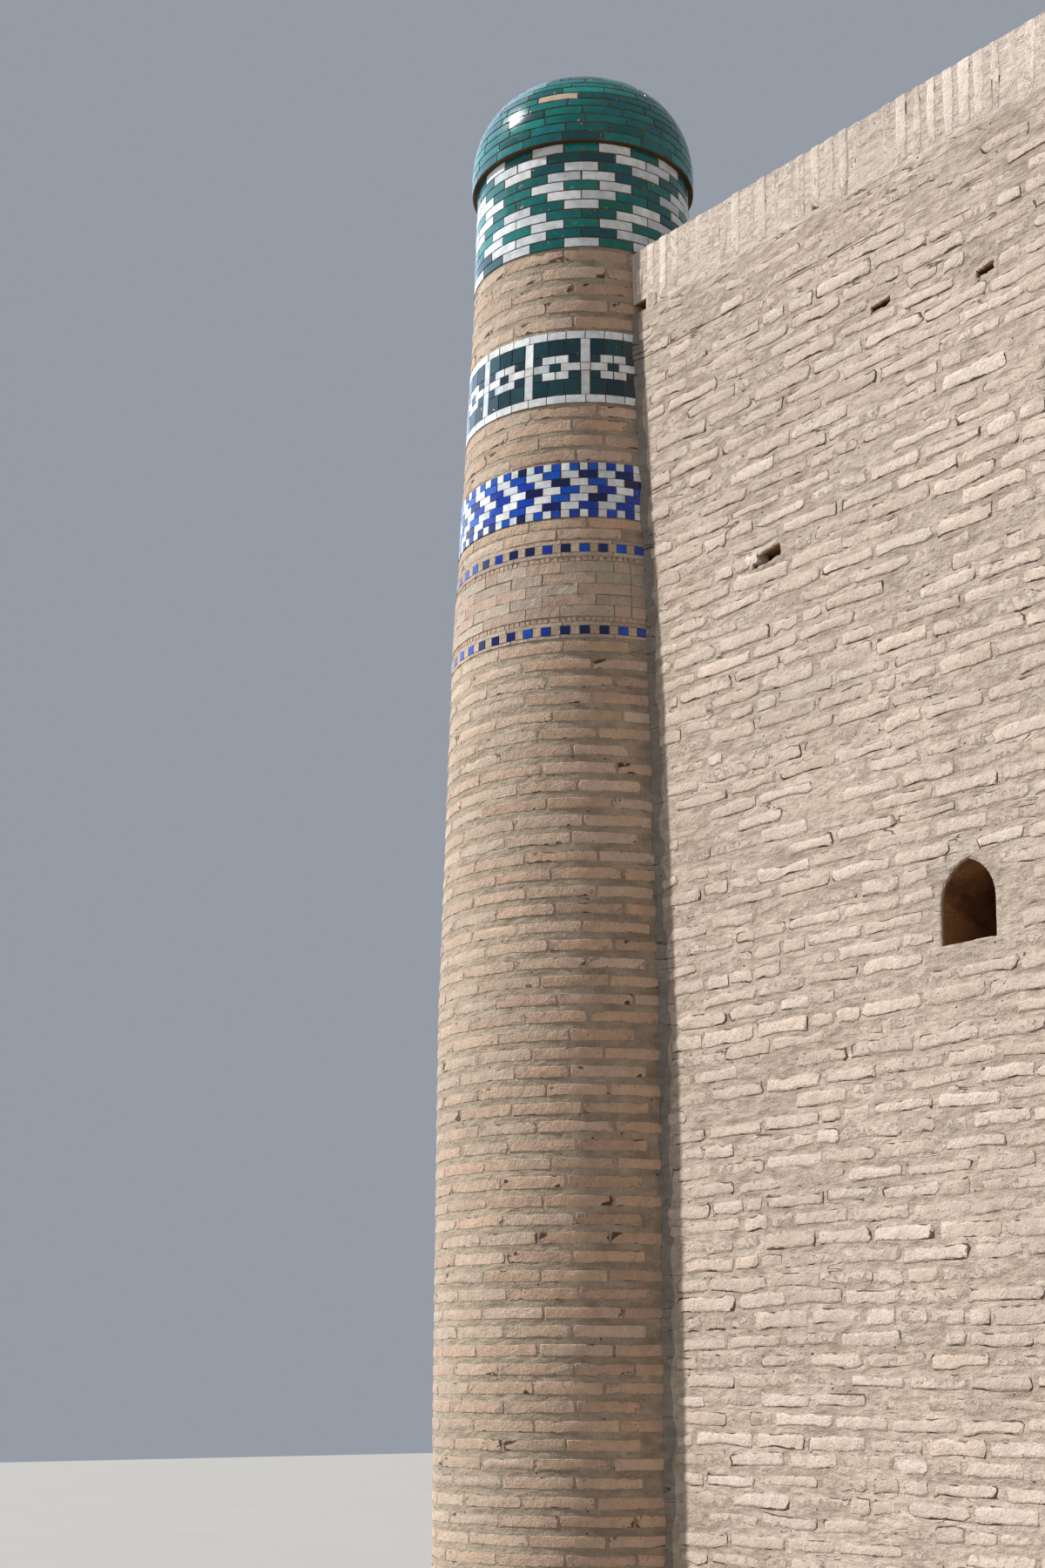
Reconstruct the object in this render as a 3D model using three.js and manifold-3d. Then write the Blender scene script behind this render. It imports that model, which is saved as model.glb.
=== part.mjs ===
// A small square brick mausoleum with a round tower at each corner, in millimetres, +Z up.
// The origin is on the ground under the middle of the square plan.
// The -Y wall is the south wall, and the doorway is in the west wall, on the -X side.

import * as THREE from 'three';
import { mergeVertices } from 'three/addons/utils/BufferGeometryUtils.js';
import Module from 'manifold-3d';

const wasm = await Module();
wasm.setup();

// Plan
const TOWER_AXIS = 2100;
const WALL_FACE = 2220;
const WALL_THICKNESS = 600;
const WALL_INSIDE = WALL_FACE - WALL_THICKNESS;
const PARAPET_THICKNESS = 260;

// Heights of the walls
const SILL_COURSE_BOTTOM = 3560;
const LINTEL_COURSE_TOP = 4190;
const WALL_TOP = 6545;
const PARAPET_TOP = 6805;
const ROOF_TOP = 6725;

// The brickwork stands this far proud of its mortar bed
const BRICK_RELIEF = 6;
const GLAZE_RELIEF = 4;

// Tower: the radius of the brick faces at each height, a shaft with a slight belly
const SHAFT_STATIONS = [
  [0, 620],
  [2200, 615],
  [3700, 602],
  [4500, 575],
  [5200, 551],
  [5800, 515],
  [6460, 478],
  [6824, 461],
  [7279, 447],
];
const SHAFT_TOP = 6824;
const DRUM_TOP = 7279;
const FOOT_COURSE = 50;
const TOWER_SIDES = 36;

// Bands set into the shaft
const BAND_DEPTH = 60;
const RELIEF_PANEL = { bottom: 5165, top: 5570 };
const CHEVRON_BAND = { bottom: 5666, top: 5896 };
const FRET_BAND = { bottom: 6151, top: 6460 };

// Cap: a stilted dome with full shoulders and a small closing disc
const CAP_RADIUS = 470;
const CAP_STILT = 36;
const CAP_RISE = 405;
const CAP_FULLNESS = 2.4;
const CAP_STEPS = 9;
const CAP_DISC_RADIUS = 60;

// Openings
const WINDOW = { halfWidth: 117, sill: 3730, springing: 3860, apex: 4010 };
const DOOR = { halfWidth: 480, sill: 0, springing: 1450, apex: 1960 };
const ARCH_STEPS = 7;

// Holes left by lost bricks and pieces of brick in the south wall, and by one at the parapet's foot
const LOST_BRICKS = [
  { x: -912, z: 5320, width: 156, height: 62, depth: 120 },
  { x: -325, z: 6070, width: 100, height: 34, depth: 60 },
  { x: 145, z: 6012, width: 80, height: 38, depth: 80 },
  { x: -1575, z: 6567, width: 140, height: 44, depth: 90 },
];

// Clearance where one solid is cut by another
const GAP = 0.3;

const brick = new THREE.MeshStandardMaterial({ color: '#b79f86', roughness: 0.95, metalness: 0 });
const shade = new THREE.MeshStandardMaterial({ color: '#c2ab90', roughness: 0.95, metalness: 0 });
const mud = new THREE.MeshStandardMaterial({ color: '#a98f74', roughness: 1, metalness: 0 });
const turquoise = new THREE.MeshStandardMaterial({ color: '#1d7d74', roughness: 0.2, metalness: 0 });
const darkTeal = new THREE.MeshStandardMaterial({ color: '#123f42', roughness: 0.25, metalness: 0 });
const cobalt = new THREE.MeshStandardMaterial({ color: '#2a45b8', roughness: 0.25, metalness: 0 });

const model = new THREE.Group();

function addMesh(parent, name, geometry, material) {
  const mesh = new THREE.Mesh(geometry, material.clone());
  mesh.name = name;
  parent.add(mesh);
}

// A closed three.js geometry as a solid that can be cut
function toSolid(geometry) {
  const bare = geometry.clone();
  bare.deleteAttribute('normal');
  bare.deleteAttribute('uv');
  const merged = mergeVertices(bare, 0.001);
  const index = merged.getIndex().array;
  const triangles = [];
  for (let i = 0; i < index.length; i += 3) {
    const [a, b, c] = index.slice(i, i + 3);
    if (a !== b && b !== c && c !== a) {
      triangles.push(a, b, c);
    }
  }
  return new wasm.Manifold(new wasm.Mesh({
    numProp: 3,
    vertProperties: new Float32Array(merged.getAttribute('position').array),
    triVerts: new Uint32Array(triangles),
  }));
}

function toGeometry(solid) {
  const mesh = solid.getMesh();
  const geometry = new THREE.BufferGeometry();
  geometry.setAttribute('position', new THREE.BufferAttribute(mesh.vertProperties, 3));
  geometry.setIndex(new THREE.BufferAttribute(mesh.triVerts, 1));
  geometry.computeVertexNormals();
  return geometry;
}

// Radius of the tower's brick faces at a height
function faceRadius(z) {
  const upper = SHAFT_STATIONS.findIndex(([height]) => height >= z);
  const [z1, r1] = SHAFT_STATIONS[Math.max(upper, 1)];
  const [z0, r0] = SHAFT_STATIONS[Math.max(upper, 1) - 1];
  return r0 + (r1 - r0) * (z - z0) / (z1 - z0);
}

// A profile of [radius, height] pairs turned round the vertical axis
function turned(profile) {
  const points = profile.map(([radius, height]) => new THREE.Vector2(radius, height));
  return new THREE.LatheGeometry(points, TOWER_SIDES).rotateX(Math.PI / 2);
}

// Outer side of the shaft between two heights, with its mortar bed grown or shrunk by an offset
function shaftSide(bottom, top, offset) {
  const between = SHAFT_STATIONS.map(([height]) => height).filter((z) => z > bottom && z < top);
  return [bottom, ...between, top].map((z) => [faceRadius(z) + offset, z]);
}

function shaftProfile() {
  const foot = faceRadius(0);
  const profile = [[0, 0], [foot, 0], [foot, FOOT_COURSE]];
  let from = FOOT_COURSE;
  for (const band of [RELIEF_PANEL, CHEVRON_BAND, FRET_BAND]) {
    profile.push(...shaftSide(from, band.bottom, -BRICK_RELIEF));
    const seat = faceRadius(band.top) - BAND_DEPTH;
    profile.push([seat, band.bottom], [seat, band.top]);
    from = band.top;
  }
  profile.push(...shaftSide(from, SHAFT_TOP, -BRICK_RELIEF), [0, SHAFT_TOP]);
  return profile;
}

// A ring of facing that fills its groove in the shaft
function bandProfile(band, relief) {
  const seat = faceRadius(band.top) - BAND_DEPTH + GAP;
  const low = band.bottom + GAP;
  const high = band.top - GAP;
  const outside = shaftSide(low, high, -relief);
  return [[seat, low], ...outside, [seat, high], [seat, low]];
}

function drumProfile() {
  const outside = shaftSide(SHAFT_TOP, DRUM_TOP, -GLAZE_RELIEF);
  return [[0, SHAFT_TOP], ...outside, [0, DRUM_TOP]];
}

// The dome is a quarter of a superellipse on a short upright rim
function capProfile() {
  const radius = CAP_RADIUS - GLAZE_RELIEF;
  const rise = CAP_RISE - GLAZE_RELIEF;
  const springing = DRUM_TOP + CAP_STILT;
  const power = 2 / CAP_FULLNESS;
  const profile = [[0, DRUM_TOP], [radius, DRUM_TOP], [radius, springing]];
  for (let i = 1; i < CAP_STEPS; i++) {
    const angle = (i / CAP_STEPS) * Math.PI / 2;
    profile.push([radius * Math.cos(angle) ** power, springing + rise * Math.sin(angle) ** power]);
  }
  const apex = springing + CAP_RISE;
  const discSeat = springing + rise * (1 - (CAP_DISC_RADIUS / radius) ** CAP_FULLNESS) ** (1 / CAP_FULLNESS);
  profile.push([CAP_DISC_RADIUS, discSeat], [CAP_DISC_RADIUS, apex], [0, apex]);
  return profile;
}

// The space that a tower takes out of the walls that meet it
function towerSpace(x, y) {
  const side = shaftSide(0, DRUM_TOP, GAP);
  const below = [faceRadius(0) + GAP, -GAP];
  const profile = [[0, -GAP], below, ...side, [0, DRUM_TOP]];
  return toSolid(turned(profile).translate(x, y, 0));
}

const southTowers = towerSpace(-TOWER_AXIS, -TOWER_AXIS).add(towerSpace(TOWER_AXIS, -TOWER_AXIS));
const northTowers = towerSpace(-TOWER_AXIS, TOWER_AXIS).add(towerSpace(TOWER_AXIS, TOWER_AXIS));

// A mitred length of the south wall, from one tower to the other
function wallBlock(outside, inside, bottom, top) {
  const plan = new THREE.Shape();
  plan.moveTo(-outside + GAP, -outside);
  plan.lineTo(outside - GAP, -outside);
  plan.lineTo(inside - GAP, -inside);
  plan.lineTo(-inside + GAP, -inside);
  plan.closePath();
  const geometry = new THREE.ExtrudeGeometry(plan, { depth: top - bottom, bevelEnabled: false });
  return toSolid(geometry.translate(0, 0, bottom)).subtract(southTowers);
}

function boxSolid(xRange, yRange, zRange) {
  const size = [xRange, yRange, zRange].map(([low, high]) => high - low);
  const centre = [xRange, yRange, zRange].map(([low, high]) => (high + low) / 2);
  return toSolid(new THREE.BoxGeometry(...size).translate(...centre));
}

// The pointed opening: two arcs, struck so that they leave the jambs upright
function archedOpening({ halfWidth, sill, springing, apex }) {
  const rise = apex - springing;
  const radius = (halfWidth ** 2 + rise ** 2) / (2 * halfWidth);
  const sweep = Math.atan2(rise, radius - halfWidth);
  const outline = new THREE.Shape();
  const foot = sill > 0 ? sill : -GAP;
  outline.moveTo(-halfWidth, foot);
  outline.lineTo(halfWidth, foot);
  for (let i = 0; i <= ARCH_STEPS; i++) {
    const angle = sweep * i / ARCH_STEPS;
    outline.lineTo(halfWidth - radius + radius * Math.cos(angle), springing + radius * Math.sin(angle));
  }
  for (let i = ARCH_STEPS - 1; i >= 0; i--) {
    const angle = sweep * i / ARCH_STEPS;
    outline.lineTo(radius - halfWidth - radius * Math.cos(angle), springing + radius * Math.sin(angle));
  }
  outline.closePath();
  const depth = WALL_THICKNESS + 2 * GAP;
  const geometry = new THREE.ExtrudeGeometry(outline, { depth, bevelEnabled: false });
  return toSolid(geometry.rotateX(Math.PI / 2).translate(0, -WALL_INSIDE + GAP, 0));
}

function addTower(name, turn) {
  const tower = new THREE.Group();
  tower.rotation.z = turn;
  const footing = new THREE.Group();
  footing.position.set(-TOWER_AXIS, -TOWER_AXIS, 0);
  tower.add(footing);
  addMesh(footing, `${name}_tower_shaft`, turned(shaftProfile()), brick);
  addMesh(footing, `${name}_tower_relief_panel`, turned(bandProfile(RELIEF_PANEL, BRICK_RELIEF)), shade);
  addMesh(footing, `${name}_tower_chevron_band`, turned(bandProfile(CHEVRON_BAND, GLAZE_RELIEF)), cobalt);
  addMesh(footing, `${name}_tower_fret_band`, turned(bandProfile(FRET_BAND, GLAZE_RELIEF)), darkTeal);
  addMesh(footing, `${name}_tower_glazed_drum`, turned(drumProfile()), turquoise);
  addMesh(footing, `${name}_tower_cap`, turned(capProfile()), turquoise);
  model.add(tower);
}

// A stretch of wall less the holes of its lost bricks
function withHoles(stretch, lostBricks) {
  const cut = (left, { x, z, width, height, depth }) => left.subtract(boxSolid(
    [x - width / 2, x + width / 2],
    [-WALL_FACE - GAP, -WALL_FACE + depth],
    [z - height / 2, z + height / 2],
  ));
  return lostBricks.reduce(cut, stretch);
}

// One side of the building, built as the south side and turned to its place
function addSide(name, turn, { doorway = false, lostBricks = [] }) {
  const side = new THREE.Group();
  side.rotation.z = turn;
  const lower = wallBlock(WALL_FACE, WALL_INSIDE, 0, doorway ? DOOR.springing : SILL_COURSE_BOTTOM);
  if (doorway) {
    const reach = [-WALL_FACE - GAP, -WALL_INSIDE + GAP];
    const heights = [-GAP, DOOR.springing + GAP];
    const leftCut = boxSolid([-DOOR.halfWidth, WALL_FACE], reach, heights);
    const rightCut = boxSolid([-WALL_FACE, DOOR.halfWidth], reach, heights);
    addMesh(side, `${name}_wall_left_pier`, toGeometry(lower.subtract(leftCut)), brick);
    addMesh(side, `${name}_wall_right_pier`, toGeometry(lower.subtract(rightCut)), brick);
    const over = wallBlock(WALL_FACE, WALL_INSIDE, DOOR.springing, SILL_COURSE_BOTTOM);
    addMesh(side, `${name}_wall_door_arch`, toGeometry(over.subtract(archedOpening(DOOR))), brick);
  } else {
    addMesh(side, `${name}_wall_lower`, toGeometry(lower), brick);
  }

  const windowCourse = wallBlock(WALL_FACE, WALL_INSIDE, SILL_COURSE_BOTTOM, LINTEL_COURSE_TOP);
  const pierced = windowCourse.subtract(archedOpening(WINDOW));
  addMesh(side, `${name}_wall_window_course`, toGeometry(pierced), brick);

  const upper = wallBlock(WALL_FACE, WALL_INSIDE, LINTEL_COURSE_TOP, WALL_TOP);
  addMesh(side, `${name}_wall_upper`, toGeometry(withHoles(upper, lostBricks)), brick);
  const parapet = wallBlock(WALL_FACE, WALL_FACE - PARAPET_THICKNESS, WALL_TOP, PARAPET_TOP);
  addMesh(side, `${name}_parapet`, toGeometry(withHoles(parapet, lostBricks)), brick);
  model.add(side);
}

// The flat roof lies on the walls, inside the parapets
function addRoof() {
  const reach = WALL_FACE - PARAPET_THICKNESS - GAP;
  const slab = boxSolid([-reach, reach], [-reach, reach], [WALL_TOP, ROOF_TOP]);
  const trimmed = slab.subtract(southTowers).subtract(northTowers);
  addMesh(model, 'roof', toGeometry(trimmed), mud);
}

const QUARTER = Math.PI / 2;
addTower('southwest', 0);
addTower('southeast', QUARTER);
addTower('northeast', 2 * QUARTER);
addTower('northwest', 3 * QUARTER);
addSide('south', 0, { lostBricks: LOST_BRICKS });
addSide('east', QUARTER, {});
addSide('north', 2 * QUARTER, {});
addSide('west', 3 * QUARTER, { doorway: true });
addRoof();

export default model;
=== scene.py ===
"""The looks of a small brick mausoleum with a glazed round tower at each corner.

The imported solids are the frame. Their outer faces are the mortar beds, and this script lays the
bricks, tiles and plaster on them, and adds the floor, the light and the camera."""

import math
from functools import partial

import bpy
import numpy as np
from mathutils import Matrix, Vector


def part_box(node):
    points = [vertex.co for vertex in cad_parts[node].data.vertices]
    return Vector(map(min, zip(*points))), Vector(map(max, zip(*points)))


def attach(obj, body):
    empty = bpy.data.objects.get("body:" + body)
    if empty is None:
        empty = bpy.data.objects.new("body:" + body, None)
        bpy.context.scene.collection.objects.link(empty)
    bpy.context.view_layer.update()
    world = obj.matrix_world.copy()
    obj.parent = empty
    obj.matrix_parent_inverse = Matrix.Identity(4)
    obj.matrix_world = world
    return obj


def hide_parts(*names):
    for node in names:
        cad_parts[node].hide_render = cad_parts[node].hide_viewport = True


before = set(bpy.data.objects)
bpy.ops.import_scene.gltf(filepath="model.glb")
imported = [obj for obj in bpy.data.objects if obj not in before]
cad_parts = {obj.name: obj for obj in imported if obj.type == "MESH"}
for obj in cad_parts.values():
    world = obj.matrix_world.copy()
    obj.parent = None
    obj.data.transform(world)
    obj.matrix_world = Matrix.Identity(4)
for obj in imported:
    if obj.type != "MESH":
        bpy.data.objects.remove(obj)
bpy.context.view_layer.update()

MM = 0.001
TAU = 2 * math.pi
TOWERS = ("southwest", "southeast", "northeast", "northwest")
SIDES = ("south", "east", "north", "west")


def heights_of(node):
    """Lowest and highest level of a CAD node, in millimetres."""
    low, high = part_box(node)
    return low.z / MM, high.z / MM


# Plan and heights in millimetres, from the frame
TOWER_AXIS = -(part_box("southwest_tower_shaft")[0].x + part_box("southwest_tower_shaft")[1].x) / 2 / MM
WALL_FACE = -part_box("south_wall_lower")[0].y / MM
PARAPET_INSIDE = -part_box("south_parapet")[1].y / MM
WALL_TOP, PARAPET_TOP = heights_of("south_parapet")
ROOF_TOP = heights_of("roof")[1]
PANEL_BOTTOM, PANEL_TOP = heights_of("southwest_tower_relief_panel")
CHEVRON_BOTTOM, CHEVRON_TOP = heights_of("southwest_tower_chevron_band")
FRET_BOTTOM, FRET_TOP = heights_of("southwest_tower_fret_band")
DRUM_BOTTOM, DRUM_TOP = heights_of("southwest_tower_glazed_drum")
CAP_APEX = heights_of("southwest_tower_cap")[1]

# Radius of the tower's brick faces at each height, as in the solids
STATION_HEIGHTS = (0, 2200, 3700, 4500, 5200, 5800, 6460, 6824, 7279)
STATION_RADII = (620, 615, 602, 575, 551, 515, 478, 461, 447)
BAND_DEPTH = 60
CAP_RADIUS = 470
CAP_STILT = 36
CAP_FULLNESS = 2.4
CAP_DISC_RADIUS = 60

# The faces stand this far outside their mortar beds, and their buried edges this far behind them
BRICK_RELIEF = 6
TOWER_RELIEF = 5.0
GLAZE_RELIEF = 4
BURIED = 3

# A face this far outside its bed is clear of mortar, and one that sinks stays this far outside its
# buried edges
CLEAR = 3.0
LEAST_STEP = 0.5

# How much the colours of one kind of brick differ, between which limits, how far a course is moved
# along the one below, in bricks, how far an end is off its place, and how wide joints are in shares
# of the usual one
TONE_SPREAD = 0.05
TONE_LIMITS = (0.6, 1.4)
BOND_SHIFT = (0.35, 0.65)
END_JITTER = 0.05
JOINT_SPREAD = (0.6, 1.4)

# Openings of the walls, and how far the mouth of a lost brick's hole climbs along it
WINDOW = {"half_width": 117, "sill": 3730, "springing": 3860, "apex": 4010}
DOOR = {"half_width": 480, "sill": 0, "springing": 1450, "apex": 1960}
WINDOW_MARGIN = 26
DOOR_RING = 200
LOST_BRICKS = (
    {"x": -912, "z": 5320, "width": 156, "height": 62},
    {"x": -325, "z": 6070, "width": 100, "height": 34},
    {"x": 145, "z": 6012, "width": 80, "height": 38},
)
LOST_AT_PARAPET = {"x": -1575, "width": 140, "height": 44, "filled": 45}
SLOPE_IN_HOLE = 0.15

# The bed joint high on the walls that has cracked along much of its length
LONG_CRACK = 6346

# Steps round a tower in its smooth beds
ROUND = 96


def linear(hex_colour):
    """An sRGB hex colour as linear red, green and blue."""
    channels = np.array([int(hex_colour[i : i + 2], 16) for i in (1, 3, 5)]) / 255
    return np.where(channels <= 0.04045, channels / 12.92, ((channels + 0.055) / 1.055) ** 2.4)


def rgba(hex_colour):
    """An sRGB hex colour as linear red, green and blue, and full cover."""
    return (*linear(hex_colour), 1.0)


def face_radius(height):
    """The radius of a tower's brick faces at a height."""
    return np.interp(height, STATION_HEIGHTS, STATION_RADII)


# Surfaces to lay on, each from places in millimetres to points in metres


def turned(x, y, z, quarter):
    """Points turned about the middle of the plan by a number of quarter turns."""
    cosine, sine = ((1, 0), (0, 1), (-1, 0), (0, -1))[quarter]
    flat = np.broadcast_arrays(x * cosine - y * sine, x * sine + y * cosine, z)
    return np.stack(flat, axis=-1) * MM


def tower_point(quarter, angle, radius, height):
    """A point at an angle, a radius and a height about the axis of a tower."""
    x = -TOWER_AXIS + radius * np.cos(angle)
    y = -TOWER_AXIS + radius * np.sin(angle)
    return turned(x, y, height, quarter)


def tower_surface(quarter):
    """The side of a tower: the face radius at the height, less the depth."""

    def place(angle, height, depth):
        return tower_point(quarter, angle, face_radius(height) - depth, height)

    return place


def wall_surface(quarter):
    """The outer face of a wall: x along it, the height, and the depth behind the brick faces."""

    def place(x, height, depth):
        return turned(x, depth - WALL_FACE - BRICK_RELIEF, height, quarter)

    return place


def parapet_surface(quarter):
    """Up the outer face of the parapet, over its top and down its inner face, for a run that starts
    at the parapet's foot. The depth is behind whichever of the three faces it is."""
    top = PARAPET_TOP + BRICK_RELIEF
    outer = -WALL_FACE - BRICK_RELIEF
    inner = -PARAPET_INSIDE + BRICK_RELIEF
    climb = top - WALL_TOP
    across = inner - outer

    def place(x, run, depth):
        y = np.clip(outer + run - climb, outer + depth, inner - depth)
        up = WALL_TOP + run
        down = top - (run - climb - across)
        return turned(x, y, np.minimum(np.minimum(up, down), top - depth), quarter)

    return place, climb, across


def dome_curve(steps):
    """The meridian of the dome's faces: an upright rim and then a quarter of a superellipse, whose
    radius and rise go with the cosine and the sine to the power of two over the fullness. Returns
    the run along it, the radius, the height, and the outward direction at each step."""
    angle = np.linspace(0, math.pi / 2, steps)
    rise = CAP_APEX - DRUM_TOP - CAP_STILT
    radius = CAP_RADIUS * np.cos(angle).clip(0) ** (2 / CAP_FULLNESS)
    height = DRUM_TOP + CAP_STILT + rise * np.sin(angle) ** (2 / CAP_FULLNESS)
    radius = np.concatenate([[CAP_RADIUS], radius])
    height = np.concatenate([[DRUM_TOP], height])
    run = np.concatenate([[0], np.cumsum(np.hypot(np.diff(radius), np.diff(height)))])
    slope_out = np.gradient(height, run)
    slope_up = -np.gradient(radius, run)
    size = np.hypot(slope_out, slope_up)
    return run, radius, height, slope_out / size, slope_up / size


DOME = dome_curve(240)


def dome_surface(quarter):
    """The dome, for a run along its meridian from the rim."""
    runs, radii, heights, outs, ups = DOME

    def place(angle, run, depth):
        radius = np.interp(run, runs, radii) - depth * np.interp(run, runs, outs)
        height = np.interp(run, runs, heights) - depth * np.interp(run, runs, ups)
        return tower_point(quarter, angle, radius, height)

    return place


def arch_radius(opening):
    """The radius of the arcs of a pointed opening: the squares of half its width and of its rise,
    added and divided by its width."""
    rise = opening["apex"] - opening["springing"]
    return (opening["half_width"] ** 2 + rise**2) / (2 * opening["half_width"])


def arch_sweep(opening):
    """The angle of each arc of a pointed opening, from its springing to its apex."""
    rise = opening["apex"] - opening["springing"]
    return math.atan2(rise, arch_radius(opening) - opening["half_width"])


def arch_surface(quarter, opening, hand):
    """One half of a pointed arch ring on a wall: a run along its inner edge, upwards on the left
    (hand -1) and downwards on the right (hand 1), the distance outside that edge, and the depth."""
    radius = arch_radius(opening)
    sweep = arch_sweep(opening)

    def place(run, outside, depth):
        angle = run / radius if hand < 0 else sweep - run / radius
        x = hand * (opening["half_width"] - radius + (radius + outside) * np.cos(angle))
        height = opening["springing"] + (radius + outside) * np.sin(angle)
        return turned(x, depth - WALL_FACE - BRICK_RELIEF, height, quarter)

    return place


# Bricks and tiles

# Columns of a cell: its upper bed, how far its face is sunk, and its colour
HIGH = 3
SUNK = 5
TONE = slice(6, 9)


def course(left, right, low, high, scale, sunk, tone):
    """Cells of one course, a row each: its ends, its bed heights, the millimetres in one unit of
    its ends, how far its face is sunk, and its colour."""
    return np.column_stack(np.broadcast_arrays(left, right, low, high, scale, sunk, *tone.T))


def tones(rng, palette, count, spread):
    """Colours drawn by chance from a palette, each made a little lighter or darker."""
    colours = np.array([linear(colour) for colour in palette])
    chosen = colours[rng.integers(len(palette), size=count)]
    return chosen * rng.normal(1, spread, (count, 1)).clip(*TONE_LIMITS)


def grid_steps(inner):
    """Fractions across a brick, the direction in which each is drawn in, and its ring: 0 for the
    buried edge, 1 for the edge of the face and 2 inside it."""
    fraction = np.array([0, 0, *inner, 1, 1])
    drawn_in = np.array([0, 1, *[0] * len(inner), -1, 0])
    ring = np.array([0, 1, *[2] * len(inner), 1, 0])
    return fraction, drawn_in, ring


def brick_faces(rows, columns):
    """Point numbers of one closed brick: its front in quads, and a back that joins its lower edge
    to its upper one."""
    number = np.arange(rows * columns).reshape(rows, columns)
    front = [
        (number[r, c], number[r, c + 1], number[r + 1, c + 1], number[r + 1, c])
        for r in range(rows - 1)
        for c in range(columns - 1)
    ]
    back = [
        (number[0, c], number[-1, c], number[-1, c + 1], number[0, c + 1])
        for c in range(1, columns - 2)
    ]
    first = [*number[:, 0], number[-1, 1], number[0, 1]]
    last = [number[0, -2], number[-1, -2], *number[::-1, -1]]
    return [*front, first, *back, last]


def leaning(rng, make, count, fraction):
    """How far back each face leans, in proportion to the distance from one of its sides."""
    lean = rng.normal(0, make["lean"], (count, 1, 1))
    return np.abs(lean) * np.where(lean > 0, fraction, 1 - fraction)


def lay(cells, place, make, rng, material):
    """Closed bricks on a surface, one for each cell. A place on a brick goes with its fraction
    between the ends and the beds. Added to that are a wobble of each edge, a tilt, and a pull on
    the corners that grows with the fourth power of the distance from the middle. The outer ring is
    buried behind the bed. The face leans back and is uneven, so that mortar covers its low parts.
    Each point also gets its distance from the line where the brick comes out of the mortar."""
    left, right, low, high, scale, sunk = (cells[:, i, None, None] for i in range(SUNK + 1))
    across, across_in, across_ring = (a[None, None, :] for a in grid_steps(make["columns"]))
    up, up_in, up_ring = (a[None, :, None] for a in grid_steps(make["rows"]))
    count, rows, columns = len(cells), up.shape[1], across.shape[2]
    shift = make["shift"] * rng.uniform(-1, 1, (count, 1, columns)) * (across_ring == 2)
    across = across + shift

    beds = rng.normal(0, make["wobble"], (count, 2, columns))
    ends = rng.normal(0, make["wobble"], (count, 2, rows))
    for edge in (beds, ends):
        edge[:, :, 0] = edge[:, :, 1]
        edge[:, :, -1] = edge[:, :, -2]
    tilt = rng.normal(0, make["tilt"], (count, 1, 1))
    corner = make["corner"] * rng.gamma(2, 0.5, (count, 1, 1))
    pull = corner * (2 * up - 1) ** 4 * np.sign(1 - 2 * across) * (1 - 2 * across) ** 4

    height = low + up * (high - low) + up_in * make["bevel"] + tilt * (across - 0.5)
    height = height + (1 - up) * beds[:, 0, None, :] + up * beds[:, 1, None, :]
    moved = across_in * make["bevel"] + pull
    moved = moved + (1 - across) * ends[:, 0, :, None] + across * ends[:, 1, :, None]
    along = left + across * (right - left) + moved / scale

    ring = np.minimum(across_ring, up_ring) + np.zeros((count, 1, 1), int)
    uneven = np.abs(rng.normal(0, make["uneven"], (count, rows, columns)))
    back = sunk + leaning(rng, make, count, up) + leaning(rng, make, count, across)
    buried = make["bed"] + BURIED
    deepest = buried - LEAST_STEP
    edge = np.minimum(back + make["edge_drop"] + uneven / 2, deepest)
    depth = np.choose(ring, [buried + 0 * uneven, edge, np.minimum(back + uneven, deepest)])
    side = np.hypot(make["bevel"], buried - edge)
    to_edge = side * (make["bed"] - edge) / (buried - edge)
    rim = np.choose(ring, [to_edge - side, to_edge, to_edge + make["inset"]])

    faces = brick_faces(rows, columns)
    flat = np.concatenate([np.array(face) for face in faces])
    first_points = np.arange(count)[:, None] * rows * columns
    tone = np.column_stack([cells[:, TONE], rng.random(count)])
    return {
        "points": place(along, height, depth).reshape(-1, 3),
        "corners": (flat[None, :] + first_points).ravel(),
        "sizes": np.tile([len(face) for face in faces], count),
        "tone": np.repeat(tone, rows * columns, axis=0),
        "face": ring.ravel() / 2,
        "proud": ((make["bed"] - depth) / CLEAR).clip(0, 1).ravel(),
        "rim": rim.ravel(),
        "lime_and_painted_light": np.zeros(rim.size),
        "material": material,
    }


def plain_part(points, corners, sizes, material):
    """A part that is no brick: it has no tone, face, height or rim of its own. No lime is on it."""
    count = len(points)
    return {
        "points": points,
        "corners": corners,
        "sizes": sizes,
        "tone": np.zeros((count, 4)),
        "face": np.zeros(count),
        "proud": np.zeros(count),
        "rim": np.zeros(count),
        "lime_and_painted_light": np.zeros(count),
        "material": material,
    }


def tube(points, material, ends):
    """A closed section carried along a path: rows of points, a row for each section. The sections
    join in a ring, or with ends the first and the last are closed flat."""
    number = np.arange(points.shape[0] * points.shape[1]).reshape(points.shape[:2])
    after = number[1:] if ends else np.roll(number, -1, 0)
    before = number[:-1] if ends else number
    quads = np.stack([before, np.roll(before, -1, 1), np.roll(after, -1, 1), after], axis=-1)
    caps = [number[0, ::-1], number[-1]] if ends else []
    sizes = np.array([4] * (quads.size // 4) + [len(cap) for cap in caps])
    corners = np.concatenate([quads.ravel(), *caps])
    return plain_part(points.reshape(-1, 3), corners, sizes, material)


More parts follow.
